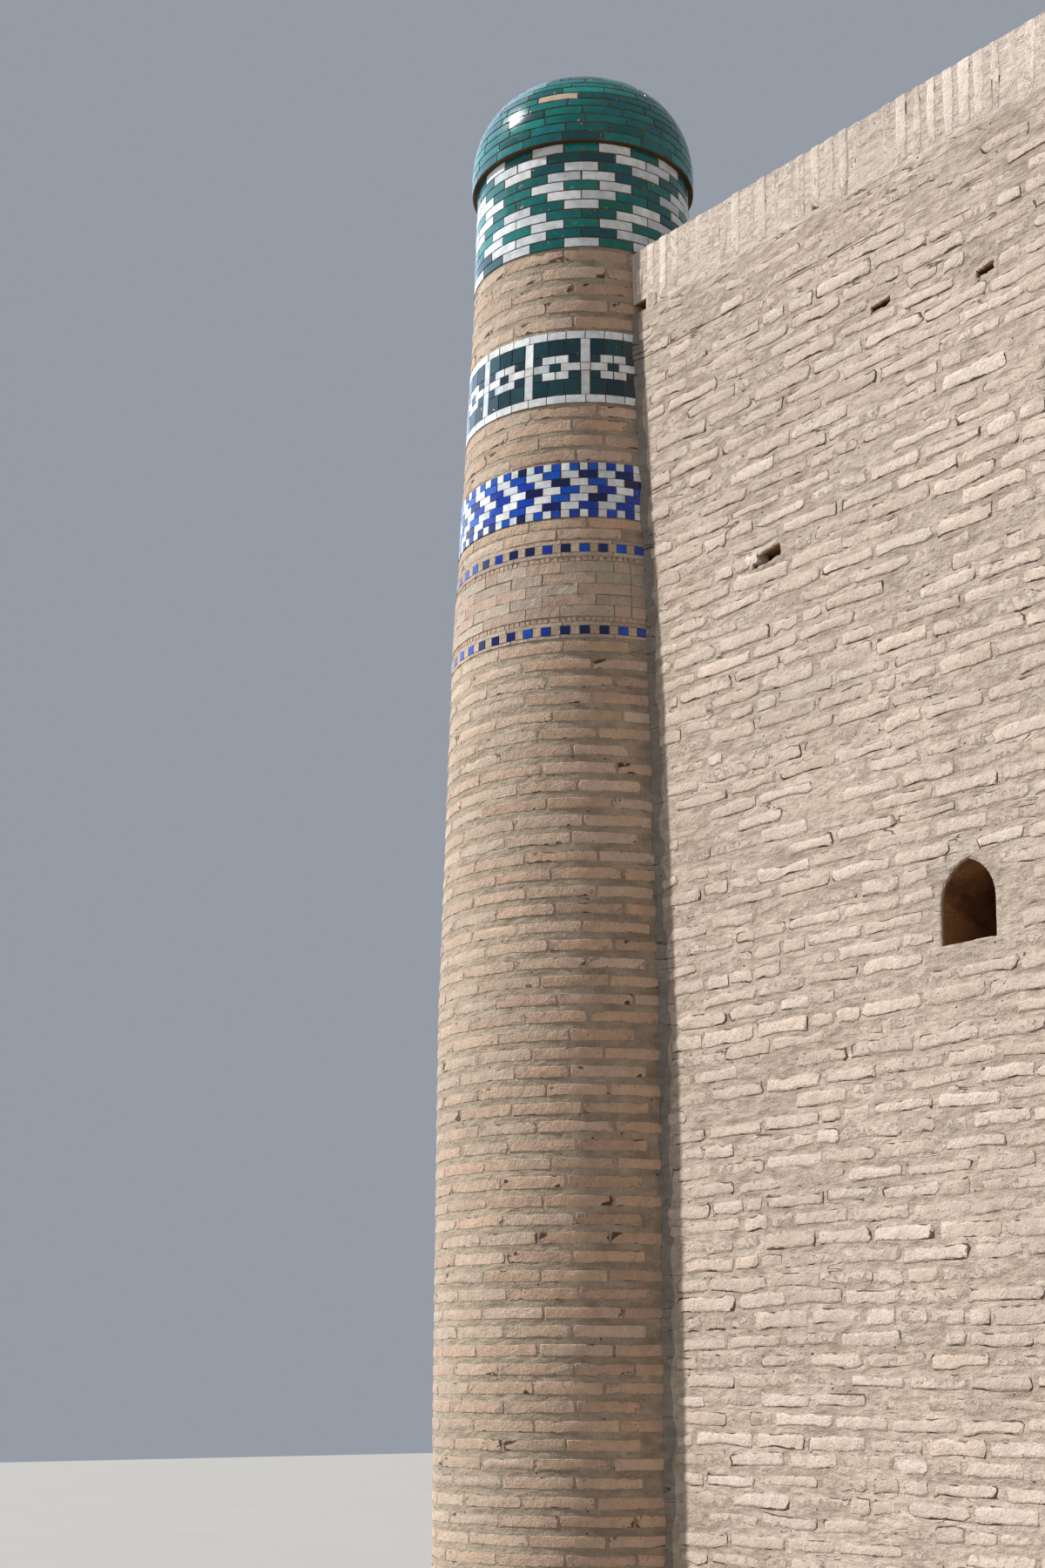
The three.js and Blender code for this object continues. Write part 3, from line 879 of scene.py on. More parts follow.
def tower_brick_cells(rng):
    """The plain brick courses of a tower, each moved by about half a brick from the one below."""
    courses = []
    phase = rng.uniform(0, TAU)
    for zone in TOWER_ZONES:
        pitch = (zone["top"] - zone["bottom"]) / zone["courses"]
        for number in range(zone["courses"]):
            low = zone["bottom"] + number * pitch + zone["joint"] / 2
            low += rng.normal(0, TOWER_LEVEL_SPREAD)
            high = low + pitch - zone["joint"] + rng.normal(0, TOWER_HEIGHT_SPREAD)
            size = (TOWER_BRICK, TOWER_JOINT)
            cells, step = ring_course(rng, low, high, *size, phase, TOWER_SUNK, BRICK_TONES)
            phase += step * rng.uniform(*BOND_SHIFT)
            courses.append(smeared(rng, cells))
    return shown(np.vstack(courses))


def shaft_profile():
    """The shaft's mortar bed, with a groove for each band."""

    def side(bottom, top):
        between = [z for z in STATION_HEIGHTS if bottom < z < top]
        return [(face_radius(z) - TOWER_RELIEF, z) for z in [bottom, *between, top]]

    bands = ((PANEL_BOTTOM, PANEL_TOP), (CHEVRON_BOTTOM, CHEVRON_TOP), (FRET_BOTTOM, FRET_TOP))
    profile = []
    start_height = 0
    for bottom, top in bands:
        seat = face_radius(top) - BAND_DEPTH
        profile += [*side(start_height, bottom), (seat, bottom), (seat, top)]
        start_height = top
    return [*profile, *side(start_height, DRUM_BOTTOM)]


def band_profile(bottom, top, relief):
    """The mortar bed of a band: a ring from the bottom of its groove to behind its faces."""
    seat = face_radius(top) - BAND_DEPTH
    steps = np.linspace(bottom, top, 5)
    return [(seat, bottom), *[(face_radius(z) - relief, z) for z in steps], (seat, top)]


# Joints of the tile bands and of the cut brick, and how far their faces are sunk at most
TILE_JOINT = 1.6
CUT_JOINT = 0.4
TILE_SUNK = 0.5


def grid_cells(rng, band):
    """Cells of a band laid out in units: each rectangle is its first and last unit, its first and
    last row, and the key of its palette."""
    low, joint = band["bottom"], band["joint"]
    unit = TAU / band["units"]
    pitch = (band["top"] - low) / band["rows"]
    rows = []
    for first, last, bottom, top, key in band["rectangles"]:
        radius = face_radius(low + (bottom + top) / 2 * pitch)
        gap = joint / 2 / radius
        left = band["origin"] + first * unit + gap
        right = band["origin"] + last * unit - gap
        colour = tones(rng, band["palettes"][key], 1, TONE_SPREAD)
        floor, ceiling = low + bottom * pitch + joint / 2, low + top * pitch - joint / 2
        rows.append(course(left, right, floor, ceiling, radius, rng.uniform(0, TILE_SUNK), colour))
    return shown(np.vstack(rows))


# Chevron band: units round the tower, where its pattern starts, and the first blue unit of each
# row of double tiles from the bottom
CHEVRON_UNITS = 88
CHEVRON_ROWS = 7
CHEVRON_ORIGIN = math.radians(-50.4)
CHEVRON_BLUE = {1: 2, 2: 3, 3: 0, 4: 3, 5: 2}


def chevron_rectangles():
    """Single tiles, white and blue by turns, in the first and last rows. Between them are double
    tiles, whose blue ones stand two units apart and step from row to row."""
    rectangles = []
    for row in range(CHEVRON_ROWS):
        if row in CHEVRON_BLUE:
            for unit in range(0, CHEVRON_UNITS, 4):
                blue = CHEVRON_BLUE[row] + unit
                rectangles.append((blue, blue + 2, row, row + 1, "blue"))
                rectangles.append((blue + 2, blue + 4, row, row + 1, "white"))
        else:
            for unit in range(CHEVRON_UNITS):
                rectangles.append((unit, unit + 1, row, row + 1, "blue" if unit % 2 else "white"))
    return rectangles


# Fret band: periods round the tower, an upright's place, and the shares of one period
FRET_PERIODS = 13
FRET_ROWS = 9
FRET_ORIGIN = math.radians(-39.2)
FRET_UPRIGHT = 0.085
FRET_RING = (0.245, 0.385, 0.575, 0.715)
FRET_CUTS = (0.36, 0.64)
FRET_MIDDLE = 0.48


def fret_rectangles():
    """White uprights and, between them, a white ring round a dark square, which a white bar joins
    to the uprights at mid height. The ground is dark, and a white border runs above and below."""
    ring_left, hole_left, hole_right, ring_right = FRET_RING
    after = 1 - FRET_UPRIGHT
    cuts = (FRET_UPRIGHT, *FRET_CUTS, after)
    rectangles = []
    for period in range(FRET_PERIODS):
        shapes = [(-FRET_UPRIGHT, FRET_UPRIGHT, *rows, "white") for rows in ((1, 4), (4, 5), (5, 8))]
        for border in (0, 8):
            for third in range(3):
                shapes.append((third / 3, (third + 1) / 3, border, border + 1, "white"))
        for first, last in zip(cuts, cuts[1:]):
            shapes.append((first, last, 1, 3, "dark"))
            shapes.append((first, last, 6, 8, "dark"))
        for row in (3, 5):
            shapes.append((FRET_UPRIGHT, ring_left, row, row + 1, "dark"))
            shapes.append((ring_left, FRET_MIDDLE, row, row + 1, "white"))
            shapes.append((FRET_MIDDLE, ring_right, row, row + 1, "white"))
            shapes.append((ring_right, after, row, row + 1, "dark"))
        shapes.append((FRET_UPRIGHT, hole_left, 4, 5, "white"))
        shapes.append((hole_left, hole_right, 4, 5, "dark"))
        shapes.append((hole_right, after, 4, 5, "white"))
        rectangles += [(period + a, period + b, *rest) for a, b, *rest in shapes]
    return rectangles


# The two tile bands, the lower one first
TILE_BANDS = (
    {
        "name": "chevron", "bottom": CHEVRON_BOTTOM, "top": CHEVRON_TOP, "slot": "cobalt_tile",
        "units": CHEVRON_UNITS, "rows": CHEVRON_ROWS, "origin": CHEVRON_ORIGIN, "joint": TILE_JOINT,
        "rectangles": chevron_rectangles(), "palettes": {"white": WHITE_TONES, "blue": COBALT_TONES},
    },
    {
        "name": "fret", "bottom": FRET_BOTTOM, "top": FRET_TOP, "slot": "teal_tile",
        "units": FRET_PERIODS, "rows": FRET_ROWS, "origin": FRET_ORIGIN, "joint": TILE_JOINT,
        "rectangles": fret_rectangles(), "palettes": {"white": WHITE_TONES, "dark": TEAL_TONES},
    },
)

# Relief panel: the blue squares, the strips of nicks, the plain courses and the stepped figures, in
# millimetres. A bar of a strip is some nicks wide.
DOT_COUNT = 45
DOT_WIDTH = 38
DOT_HEIGHT = 34
DOT_SUNK = 0.5
DOT_BUFF_SUNK = 0.8
NICK = 9
NICK_STRIP = 18
NICK_PITCH = 24
NICK_JITTER = 0.15
BAR_NICKS = (1.9, 2.5)
BAR_SUNK = 3.4
BAR_TONE_SPREAD = 0.04
STRIP_GAP = 3
PLAIN_CUT = 210
PLAIN_JOINT = 1.5
PLAIN_PHASE = 0.3
PLAIN_GAP = 1
PANEL_EDGE = 15
FIELD_EDGE = 40
FIELD_UNITS = 48
FIELD_PERIOD = 8
FIELD_ORIGIN = math.radians(-48.5 + 28.2)
FIELD_PINK = (((-1, 4),), ((3, 6),), ((5, 10),), ((3, 6),), ((2, 4), (7, 8)))
LONGEST_CUT = 3
OPEN_JOINT_SHARE = 0.22
OPEN_JOINT = 4


def dot_row(rng, low):
    """Cobalt squares, with a buff square between each two."""
    radius = face_radius(low)
    spacing = TAU / DOT_COUNT
    half = DOT_WIDTH / 2 / radius
    centres = np.arange(DOT_COUNT) * spacing
    middles = centres + spacing / 2
    buff_half = spacing / 2 - half - PLAIN_GAP / radius
    high = low + DOT_HEIGHT
    blue_tones = tones(rng, COBALT_TONES, DOT_COUNT, TONE_SPREAD)
    buff_tones = tones(rng, BUFF_TONES, DOT_COUNT, TONE_SPREAD)
    blue = course(centres - half, centres + half, low, high, radius, DOT_SUNK, blue_tones)
    left, right = middles - buff_half, middles + buff_half
    return blue, course(left, right, low, high, radius, DOT_BUFF_SUNK, buff_tones)


def nick_row(rng, low):
    """A strip of small upright bars with nicks between them."""
    radius = face_radius(low)
    count = round(TAU * radius / NICK_PITCH)
    left = (np.arange(count) + rng.uniform(-NICK_JITTER, NICK_JITTER, count)) * TAU / count
    width = rng.uniform(*BAR_NICKS, count) * NICK / radius
    colours = tones(rng, PINK_TONES, count, BAR_TONE_SPREAD)
    return course(left, left + width, low, low + NICK_STRIP, radius, BAR_SUNK, colours)


def field_rectangles():
    """Runs of pink and grey cut brick. Each row of a period has its stretches of pink, from a first
    unit to a last one, and grey between them. A long run is cut into shorter ones."""
    rectangles = []
    for row, stretches_of_pink in enumerate(FIELD_PINK):
        pink = {unit % FIELD_PERIOD for a, b in stretches_of_pink for unit in range(a, b)}
        keys = ["pink" if unit % FIELD_PERIOD in pink else "grey" for unit in range(FIELD_UNITS)]
        first = 0
        for unit in range(1, FIELD_UNITS + 1):
            if unit == FIELD_UNITS or keys[unit] != keys[first] or unit - first == LONGEST_CUT:
                rectangles.append((first, unit, row, row + 1, keys[first]))
                first = unit
    return rectangles


def panel_cells(rng):
    """Blue squares and nicks above and below stepped figures in pink and grey cut brick. Here and
    there the joint over a cut brick is open."""
    lower_dots = PANEL_BOTTOM + PANEL_EDGE
    upper_dots = PANEL_TOP - PANEL_EDGE - DOT_HEIGHT
    field_low = lower_dots + DOT_HEIGHT + FIELD_EDGE
    field_high = upper_dots - FIELD_EDGE
    band = {
        "bottom": field_low, "top": field_high, "units": FIELD_UNITS, "rows": len(FIELD_PINK),
        "origin": FIELD_ORIGIN, "joint": CUT_JOINT, "rectangles": field_rectangles(),
        "palettes": {"pink": PINK_TONES, "grey": GREY_TONES},
    }
    field = grid_cells(rng, band)
    field[:, HIGH] -= OPEN_JOINT * (rng.random(len(field)) < OPEN_JOINT_SHARE)

    blue_low, buff_low = dot_row(rng, lower_dots)
    blue_high, buff_high = dot_row(rng, upper_dots)
    lower_strip = nick_row(rng, field_low - NICK_STRIP - STRIP_GAP)
    plain = [buff_low, buff_high, lower_strip, nick_row(rng, field_high + STRIP_GAP)]
    to_strip = STRIP_GAP + NICK_STRIP + 2 * PLAIN_GAP
    for low, high in (
        (PANEL_BOTTOM + PLAIN_GAP, lower_dots - PLAIN_GAP),
        (lower_dots + DOT_HEIGHT + PLAIN_GAP, field_low - to_strip),
        (field_high + to_strip, upper_dots - PLAIN_GAP),
        (upper_dots + DOT_HEIGHT + PLAIN_GAP, PANEL_TOP - PLAIN_GAP),
    ):
        size = (low, high, PLAIN_CUT, PLAIN_JOINT)
        cells = ring_course(rng, *size, PLAIN_PHASE, TILE_SUNK, GREY_TONES + PINK_TONES)[0]
        plain.append(cells)
    return np.vstack([field, shown(np.vstack(plain))]), shown(np.vstack([blue_low, blue_high]))


# Glazed drum: its rows, the bricks in a row, where the pattern starts, the joints in millimetres,
# the rows that differ from their like in colour, how much the colours vary, how far the faces are
# sunk at most, and the share of bricks that have lost their glaze
DRUM_ROWS = 11
DRUM_BRICKS = 20
DRUM_ORIGIN = math.radians(-40.9)
DRUM_JOINT = 1.8
DRUM_BED_JOINT = 4.2
DRUM_SINGLE_WHITE = (0, 4, 8)
DRUM_PAIR_GREEN = (1, 3, 9)
DRUM_GREEN_SPREAD = 0.12
DRUM_WHITE_SPREAD = 0.04
GLAZE_SUNK = 0.8
BARE_SHARE = 0.012


def drum_cells(rng):
    """Every other row from the lowest alternates single bricks. The rows between stand half a brick
    along and alternate pairs. Together they make white and green diamonds that interlock."""
    pitch = (DRUM_TOP - DRUM_BOTTOM) / DRUM_ROWS
    step = TAU / DRUM_BRICKS
    rows = []
    for row in range(DRUM_ROWS):
        low = DRUM_BOTTOM + row * pitch + DRUM_BED_JOINT / 2
        radius = face_radius(low)
        number = np.arange(DRUM_BRICKS)
        if row % 2:
            centre = DRUM_ORIGIN + (number - 0.5) * step
            green = (number % 4 < 2) == (row in DRUM_PAIR_GREEN)
        else:
            centre = DRUM_ORIGIN + number * step
            green = (number % 2 == 0) != (row in DRUM_SINGLE_WHITE)
        half = step / 2 - DRUM_JOINT / 2 / radius
        white = tones(rng, WHITE_TONES, DRUM_BRICKS, DRUM_WHITE_SPREAD)
        glazed_green = tones(rng, GREEN_TONES, DRUM_BRICKS, DRUM_GREEN_SPREAD)
        colour = np.where(green[:, None], glazed_green, white)
        bare = rng.random((DRUM_BRICKS, 1)) < BARE_SHARE
        colour = np.where(bare, tones(rng, BUFF_TONES, DRUM_BRICKS, TONE_SPREAD), colour)
        sunk = rng.uniform(0, GLAZE_SUNK, DRUM_BRICKS)
        high = low + pitch - DRUM_BED_JOINT
        rows.append(course(centre - half, centre + half, low, high, radius, sunk, colour))
    return np.vstack(rows)


# Dome: its courses, bricks and joints in millimetres, the fewest bricks of a course, where its bed
# starts over the rim, in how many steps, and how far its closing disc stands up. The glaze has come
# off some bricks half way up.
DOME_COURSE = 38
DOME_BRICK = 160
DOME_FEWEST = 5
DOME_JOINT = 2.0
DOME_BED_JOINT = 3.6
DOME_GREEN_SPREAD = 0.14
BED_FROM = 12
BED_STEPS = 26
DISC_RISE = 2
BARE_COURSES = (5, 6)
BARE_BEARING = math.radians(-50)
BARE_REACH = math.radians(7)


def dome_cells(rng):
    """Courses of green bricks along the meridian, up to the closing disc."""
    runs, radii = DOME[0], DOME[1]
    last = np.interp(-CAP_DISC_RADIUS, -radii, runs)
    count = round(last / DOME_COURSE)
    pitch = last / count
    rows = []
    for number in range(count):
        low = number * pitch + DOME_BED_JOINT / 2
        high = (number + 1) * pitch - DOME_BED_JOINT / 2
        radius = np.interp((low + high) / 2, runs, radii)
        bricks = max(DOME_FEWEST, round(TAU * radius / DOME_BRICK))
        step = TAU / bricks
        left = rng.uniform(0, step) + (np.arange(bricks) + rng.normal(0, END_JITTER, bricks)) * step
        right = np.append(left[1:], left[0] + TAU)
        gap = DOME_JOINT / 2 / radius
        colour = tones(rng, GREEN_TONES, bricks, DOME_GREEN_SPREAD)
        away = np.abs(((left + right) / 2 - BARE_BEARING + math.pi) % TAU - math.pi)
        bare = (away < BARE_REACH)[:, None] & (number in BARE_COURSES)
        colour = np.where(bare, tones(rng, BUFF_TONES, bricks, TONE_SPREAD), colour)
        sunk = rng.uniform(0, GLAZE_SUNK, bricks)
        rows.append(course(left + gap, right - gap, low, high, radius, sunk, colour))
    return np.vstack(rows)


def cap_profile():
    """The dome's mortar bed under its closing disc, which reaches the top of the solid."""
    runs, radii, heights, outs, ups = DOME
    bed_radius = CAP_RADIUS - GLAZE_RELIEF
    rim = [(bed_radius, DRUM_TOP), (bed_radius, DRUM_TOP + CAP_STILT)]
    last = np.interp(-CAP_DISC_RADIUS, -radii, runs)
    steps = np.linspace(CAP_STILT + BED_FROM, last, BED_STEPS)
    radius = np.interp(steps, runs, radii - GLAZE_RELIEF * outs)
    height = np.interp(steps, runs, heights - GLAZE_RELIEF * ups)
    disc = [(CAP_DISC_RADIUS - 1, CAP_APEX - DISC_RISE), (CAP_DISC_RADIUS - 5, CAP_APEX)]
    return [*rim, *zip(radius, height), *disc]


# Walls

# How far bricks stay off the openings and the lost bricks, in millimetres, and how much of the height
# of a course a hole takes before it takes a brick
WINDOW_CLEARANCE = (8, 30)
UNDER_SILL = 12
DOOR_CLEARANCE = 8
JAMB_CLEARANCE = 2
LOST_CLEARANCE = 6
LEAST_OVERLAP = 4


def half_width_at(opening, height, margin):
    """Half the width of a pointed opening at a height, grown by a margin: the jambs below the
    springing, and above it the arcs, whose radius is grown."""
    radius = arch_radius(opening)
    if height <= opening["springing"]:
        return opening["half_width"] + margin
    reach = (radius + margin) ** 2 - (height - opening["springing"]) ** 2
    return max(0.0, math.sqrt(max(reach, 0.0)) - radius + opening["half_width"])


def kept_free(rng, side, low, high):
    """Stretches of a course that its openings and lost bricks take out."""
    middle = (low + high) / 2
    taken = []
    left_margin, right_margin = rng.uniform(*WINDOW_CLEARANCE, 2)
    if high > WINDOW["sill"] - UNDER_SILL:
        level = max(low, WINDOW["sill"])
        left = -half_width_at(WINDOW, level, left_margin)
        taken.append((left, half_width_at(WINDOW, level, right_margin)))
    if side == "west":
        above = middle > DOOR["springing"]
        half = half_width_at(DOOR, low, DOOR_RING + DOOR_CLEARANCE if above else JAMB_CLEARANCE)
        taken.append((-half, half))
    if side == "south":
        for lost in LOST_BRICKS:
            ceiling = min(high, lost["z"] + lost["height"] / 2)
            floor = max(low, lost["z"] - lost["height"] / 2)
            if ceiling - floor > LEAST_OVERLAP:
                half = lost["width"] / 2 + LOST_CLEARANCE
                taken.append((lost["x"] - half, lost["x"] + half))
    return [(a, b) for a, b in taken if b - a > 1]


def stretches(start_x, end_x, taken):
    """What is left of a course between its ends."""
    kept = [(start_x, end_x)]
    for a, b in taken:
        halves = [half for s, e in kept for half in ((s, min(e, a)), (max(s, b), e))]
        kept = [(s, e) for s, e in halves if e - s > 1]
    return kept


def wall_end(height):
    """How far a wall reaches along its face before it meets the tower."""
    step_back = WALL_FACE - TOWER_AXIS
    return TOWER_AXIS - np.sqrt((face_radius(height) - TOWER_RELIEF) ** 2 - step_back**2)


# How far bricks of a wall are sunk: the least, the range over it, at most, and the further depth of
# those at the top of the wall, where mortar is smeared over them. How the depths are spread over the
# range, and how far a wholly sunk brick's colour goes towards the mortar's.
WALL_SHALLOWEST = 1.0
WALL_SUNK_RANGE = 3.6
WALL_DEEPEST = 5.2
WALL_SMEAR = 2.0
WALL_SUNK_SHAPE = (1.3, 1.8)
WALL_MUD = 0.7

# How low the first course starts, the least height of a course, how far the last one stays under the
# top of the wall, how far bricks stay off the towers, and half the width of an upright joint
WALL_LOWEST = 14
LEAST_COURSE = 12
UNDER_TOP = 8
OFF_TOWER = (16, 62)
WALL_HALF_JOINT = (2, 8)

# How far off its place the level of a course, its height, the level of one brick, its top and its
# end are, how much the wave turns from course to course, and the height at which it is whole
COURSE_LEVEL_SPREAD = 1.5
COURSE_HEIGHT_SPREAD = 2
FOOT_SPREAD = 2.4
TOP_SPREAD = 2.8
END_SPREAD = 15
WAVE_TURN = 0.25
WAVE_WHOLE_FROM = 1000

# Parapet: the width of its bricks, how much it varies, where their feet stand, how far they stay off
# the towers, how far they are sunk, and how far their colour goes towards the mortar's
PARAPET_BRICK = 68
PARAPET_WIDTH_SPREAD = 3
PARAPET_FEET = (-6, 10)
PARAPET_OFF_TOWER = 4
PARAPET_SHALLOWEST = 2.1
PARAPET_SUNK_RANGE = 2.6
PARAPET_DEEPEST = 4.7
PARAPET_SUNK_SHAPE = (1.2, 1.8)
PARAPET_MUD = 0.3

# How much the colours of these bricks differ, and how the mortar's share in them grows with depth
MUDDIED_SPREAD = 0.035
MUD_POWER = 1.5

# Door: the spacing of the bricks round its arch, the half of a joint between them, and the depth
# to which their faces are sunk at most
DOOR_BRICK = 62
DOOR_HALF_JOINT = 6
DOOR_SUNK = 2


def muddied(rng, palette, sunk, deepest, most):
    """Brick colours that go towards the mortar's as the bricks sink towards their bed."""
    share = most * (sunk / deepest).clip(0, 1)[:, None] ** MUD_POWER
    clay = tones(rng, palette, len(sunk), MUDDIED_SPREAD)
    return clay * (1 - share) + linear(WALL_MORTAR_TONE) * share


def wall_cells(rng, side):
    """Courses of a wall, each moved by about half a brick from the one below. Where a stretch ends,
    its last brick is cut, and a piece that would be too short is left as mortar. Bricks stand at
    their own levels in a course, and near the top they sink into a smear of mortar. Each course waves
    gently along the wall, a little out of step with the one below."""
    rows = []
    number = -2
    phase = 0.0
    turn = 0.0
    while True:
        number += 1
        level = WALL_FIRST_LOW + number * WALL_PITCH
        low = max(level + rng.normal(0, COURSE_LEVEL_SPREAD), WALL_LOWEST)
        high = level + WALL_BRICK_HEIGHT + rng.normal(0, COURSE_HEIGHT_SPREAD)
        if high > WALL_TOP - UNDER_TOP:
            return np.vstack(rows)
        if high < WALL_LOWEST + LEAST_COURSE:
            continue
        smear = WALL_SMEAR * max(0.0, (low - SMEARED_FROM) / (WALL_TOP - SMEARED_FROM))
        phase += WALL_LENGTH * rng.uniform(*BOND_SHIFT)
        turn += rng.normal(0, WAVE_TURN)
        wave = COURSE_WAVE * min(1.0, low / WAVE_WHOLE_FROM)
        end = wall_end((low + high) / 2)
        starts = -end + rng.uniform(*OFF_TOWER)
        stops = end - rng.uniform(*OFF_TOWER)
        for a, b in stretches(starts, stops, kept_free(rng, side, low, high)):
            first = math.floor((a - phase) / WALL_LENGTH)
            last = math.ceil((b - phase) / WALL_LENGTH)
            edges = phase + np.arange(first, last + 1) * WALL_LENGTH
            halved = rng.random(len(edges)) < HALF_SHARE
            edges = np.sort(np.concatenate([edges, edges[halved] + WALL_LENGTH / 2]))
            edges = np.clip(edges + rng.normal(0, END_SPREAD, len(edges)), a, b)
            joint = rng.uniform(*WALL_HALF_JOINT, len(edges))
            left, right = edges[:-1] + joint[:-1], edges[1:] - joint[1:]
            long_enough = right - left > SHORTEST_CUT
            left, right = left[long_enough], right[long_enough]
            depth = WALL_SUNK_RANGE * rng.beta(*WALL_SUNK_SHAPE, len(left))
            sunk = (WALL_SHALLOWEST + depth + smear).clip(0, WALL_DEEPEST)
            risen = wave * np.sin((left + right) / 2 / WAVE_LENGTH + turn)
            bottom = low + risen + rng.normal(0, FOOT_SPREAD, len(left)) * (number > 0)
            top = high + risen + rng.normal(0, TOP_SPREAD, len(left))
            colour = muddied(rng, WALL_TONES, sunk, WALL_DEEPEST, WALL_MUD)
            rows.append(course(left, right, bottom, top, 1, sunk, colour))


def parapet_cells(rng, side, climb, across):
    """Bricks on end along the top of a wall, over the parapet and down to the roof inside it, close
    together and worn round, so that they show as soft ribs."""
    end = wall_end(WALL_TOP) - PARAPET_OFF_TOWER
    count = round(2 * end / WALL_PITCH)
    left = np.linspace(-end, end, count + 1)[:-1] + rng.normal(0, 2, count)
    right = left + rng.normal(PARAPET_BRICK, PARAPET_WIDTH_SPREAD, count)
    low = rng.uniform(*PARAPET_FEET, count)
    if side == "south":
        reach = LOST_AT_PARAPET["x"] + LOST_AT_PARAPET["width"] / 2 - LOST_AT_PARAPET["filled"]
        low[(left + right) / 2 < reach] = LOST_AT_PARAPET["height"] + 4
    run = climb + across + PARAPET_TOP - ROOF_TOP
    sunk = PARAPET_SHALLOWEST + PARAPET_SUNK_RANGE * rng.beta(*PARAPET_SUNK_SHAPE, count)
    colour = muddied(rng, PARAPET_TONES, sunk, PARAPET_DEEPEST, PARAPET_MUD)
    return course(left, right, low, run, 1, sunk, colour)


def door_cells(rng):
    """Bricks on edge along one half of the door's pointed arch."""
    run = arch_radius(DOOR) * arch_sweep(DOOR)
    count = round(run / DOOR_BRICK)
    left = np.arange(count) * run / count + DOOR_HALF_JOINT
    right = left + run / count - 2 * DOOR_HALF_JOINT
    colour = tones(rng, WALL_TONES, count, TONE_SPREAD)
    sunk = rng.uniform(0, DOOR_SUNK, count)
    return course(left, right, JAMB_CLEARANCE, DOOR_RING, 1, sunk, colour)


# Steps of an outline along its sill and jambs, and over each arc. The apex of a pointed opening rises
# by this many times its margin.
JAMB_STEPS = 9
ARC_STEPS = 14
APEX_RISE = 1.15


def opening_outline(opening, margin):
    """The outline of a pointed opening grown by a margin: along the sill, up the right jamb, over
    the two arcs and down the left jamb. The arcs are struck from the grown opening's own centres."""
    half = opening["half_width"] + margin
    sill = opening["sill"] - margin
    spring = opening["springing"]
    grown = {**opening, "half_width": half, "apex": opening["apex"] + margin * APEX_RISE}
    radius = arch_radius(grown)
    angle = np.linspace(0, arch_sweep(grown), ARC_STEPS)
    arc_x = half - radius + radius * np.cos(angle)
    arc_z = spring + radius * np.sin(angle)
    jamb = np.linspace(sill, spring, JAMB_STEPS)[:-1]
    base = np.linspace(-half, half, JAMB_STEPS)[:-1]
    side = np.full(len(jamb), half)
    x = np.concatenate([base, side, arc_x, -arc_x[-2::-1], -side])
    z = np.concatenate([np.full(len(base), sill), jamb, arc_z, arc_z[-2::-1], jamb[::-1]])
    return x[:-1], z[:-1]


# Section of the mortar round a hole, in shares of its width and in depths, how far its outlines
# wander, and how much its width varies
EDGING_SHARES = np.array([0.0, 0.0, 0.04, 0.2, 0.6, 0.95, 1.0, 0.5])
EDGING_DEPTHS = np.array([26.0, 7.5, 5.0, 4.2, 4.6, 5.6, 9.0, 16.0])
EDGING_WANDER = 1.6
EDGING_SPREAD = 0.25


def edging(rng, quarter, inner, outer, material):
    """Mortar smoothed round the edge of a hole: a strip between an inner outline and an outer one,
    rounded over its lip and thinned to nothing outside. Its section is carried round the outline.
    Both outlines wander by a few millimetres."""
    (inner_x, inner_z), (outer_x, outer_z) = inner, outer
    count = len(inner_x)
    wander = rng.normal(0, EDGING_WANDER, (2, count))
    wander = wander + np.roll(rng.normal(0, EDGING_WANDER, (2, count)), 1, axis=1)
    luck = rng.normal(0, 1, (count, 1)).clip(-1.5, 1.5)
    reach = EDGING_SHARES + EDGING_SPREAD * luck * (EDGING_SHARES > 0.5)
    x = inner_x[:, None] + reach * (outer_x - inner_x)[:, None] + wander[0][:, None]
    z = inner_z[:, None] + reach * (outer_z - inner_z)[:, None] + wander[1][:, None]
    points = turned(x, EDGING_DEPTHS - WALL_FACE - BRICK_RELIEF, z, quarter)
    return tube(points[:, ::-1], material, False)


def window_margin(rng, quarter):
    """Plaster smoothed round the mouth of a window."""
    inner = opening_outline(WINDOW, 1)
    outer = opening_outline(WINDOW, WINDOW_MARGIN)
    return edging(rng, quarter, inner, outer, 0)


# Hole of a lost brick: steps of its outline along it and up it, the shares of its width and height
# that its mouth keeps, and how far the mortar round it reaches. The stub in it reaches from outside
# its left end to inside it, and from under its middle to over its top.
LONG_STEPS = 12
SHORT_STEPS = 4
MOUTH = (0.93, 0.8)
MOUTH_EDGING = (16, 12)
STUB_REACH = (-36, 34)
STUB_UNDER = 12
STUB_OVER = 2
STUB_SUNK = np.array([0.6])
STUB_TONE_SPREAD = 0.02


def box_outline(half_width, half_height):
    """The outline of a box about its middle, along the bottom, up, along the top and down."""
    along = np.linspace(-1, 1, LONG_STEPS + 1)[:-1]
    up = np.linspace(-1, 1, SHORT_STEPS + 1)[:-1]
    right, top = np.ones(SHORT_STEPS), np.ones(LONG_STEPS)
    x = np.concatenate([along, right, -along, -right]) * half_width
    z = np.concatenate([-top, up, top, -up]) * half_height
    return x, z


def lost_brick_edging(rng, quarter, lost):
    """Broken mortar round the hole of a lost brick, which narrows its mouth and slants it."""
    half_width, half_height = lost["width"] / 2, lost["height"] / 2
    x, z = box_outline(half_width * MOUTH[0], half_height * MOUTH[1])
    wide_x, wide_z = box_outline(half_width + MOUTH_EDGING[0], half_height + MOUTH_EDGING[1])
    inner = (lost["x"] + x, lost["z"] + z + SLOPE_IN_HOLE * x)
    outer = (lost["x"] + wide_x, lost["z"] + wide_z)
    return edging(rng, quarter, inner, outer, 1)


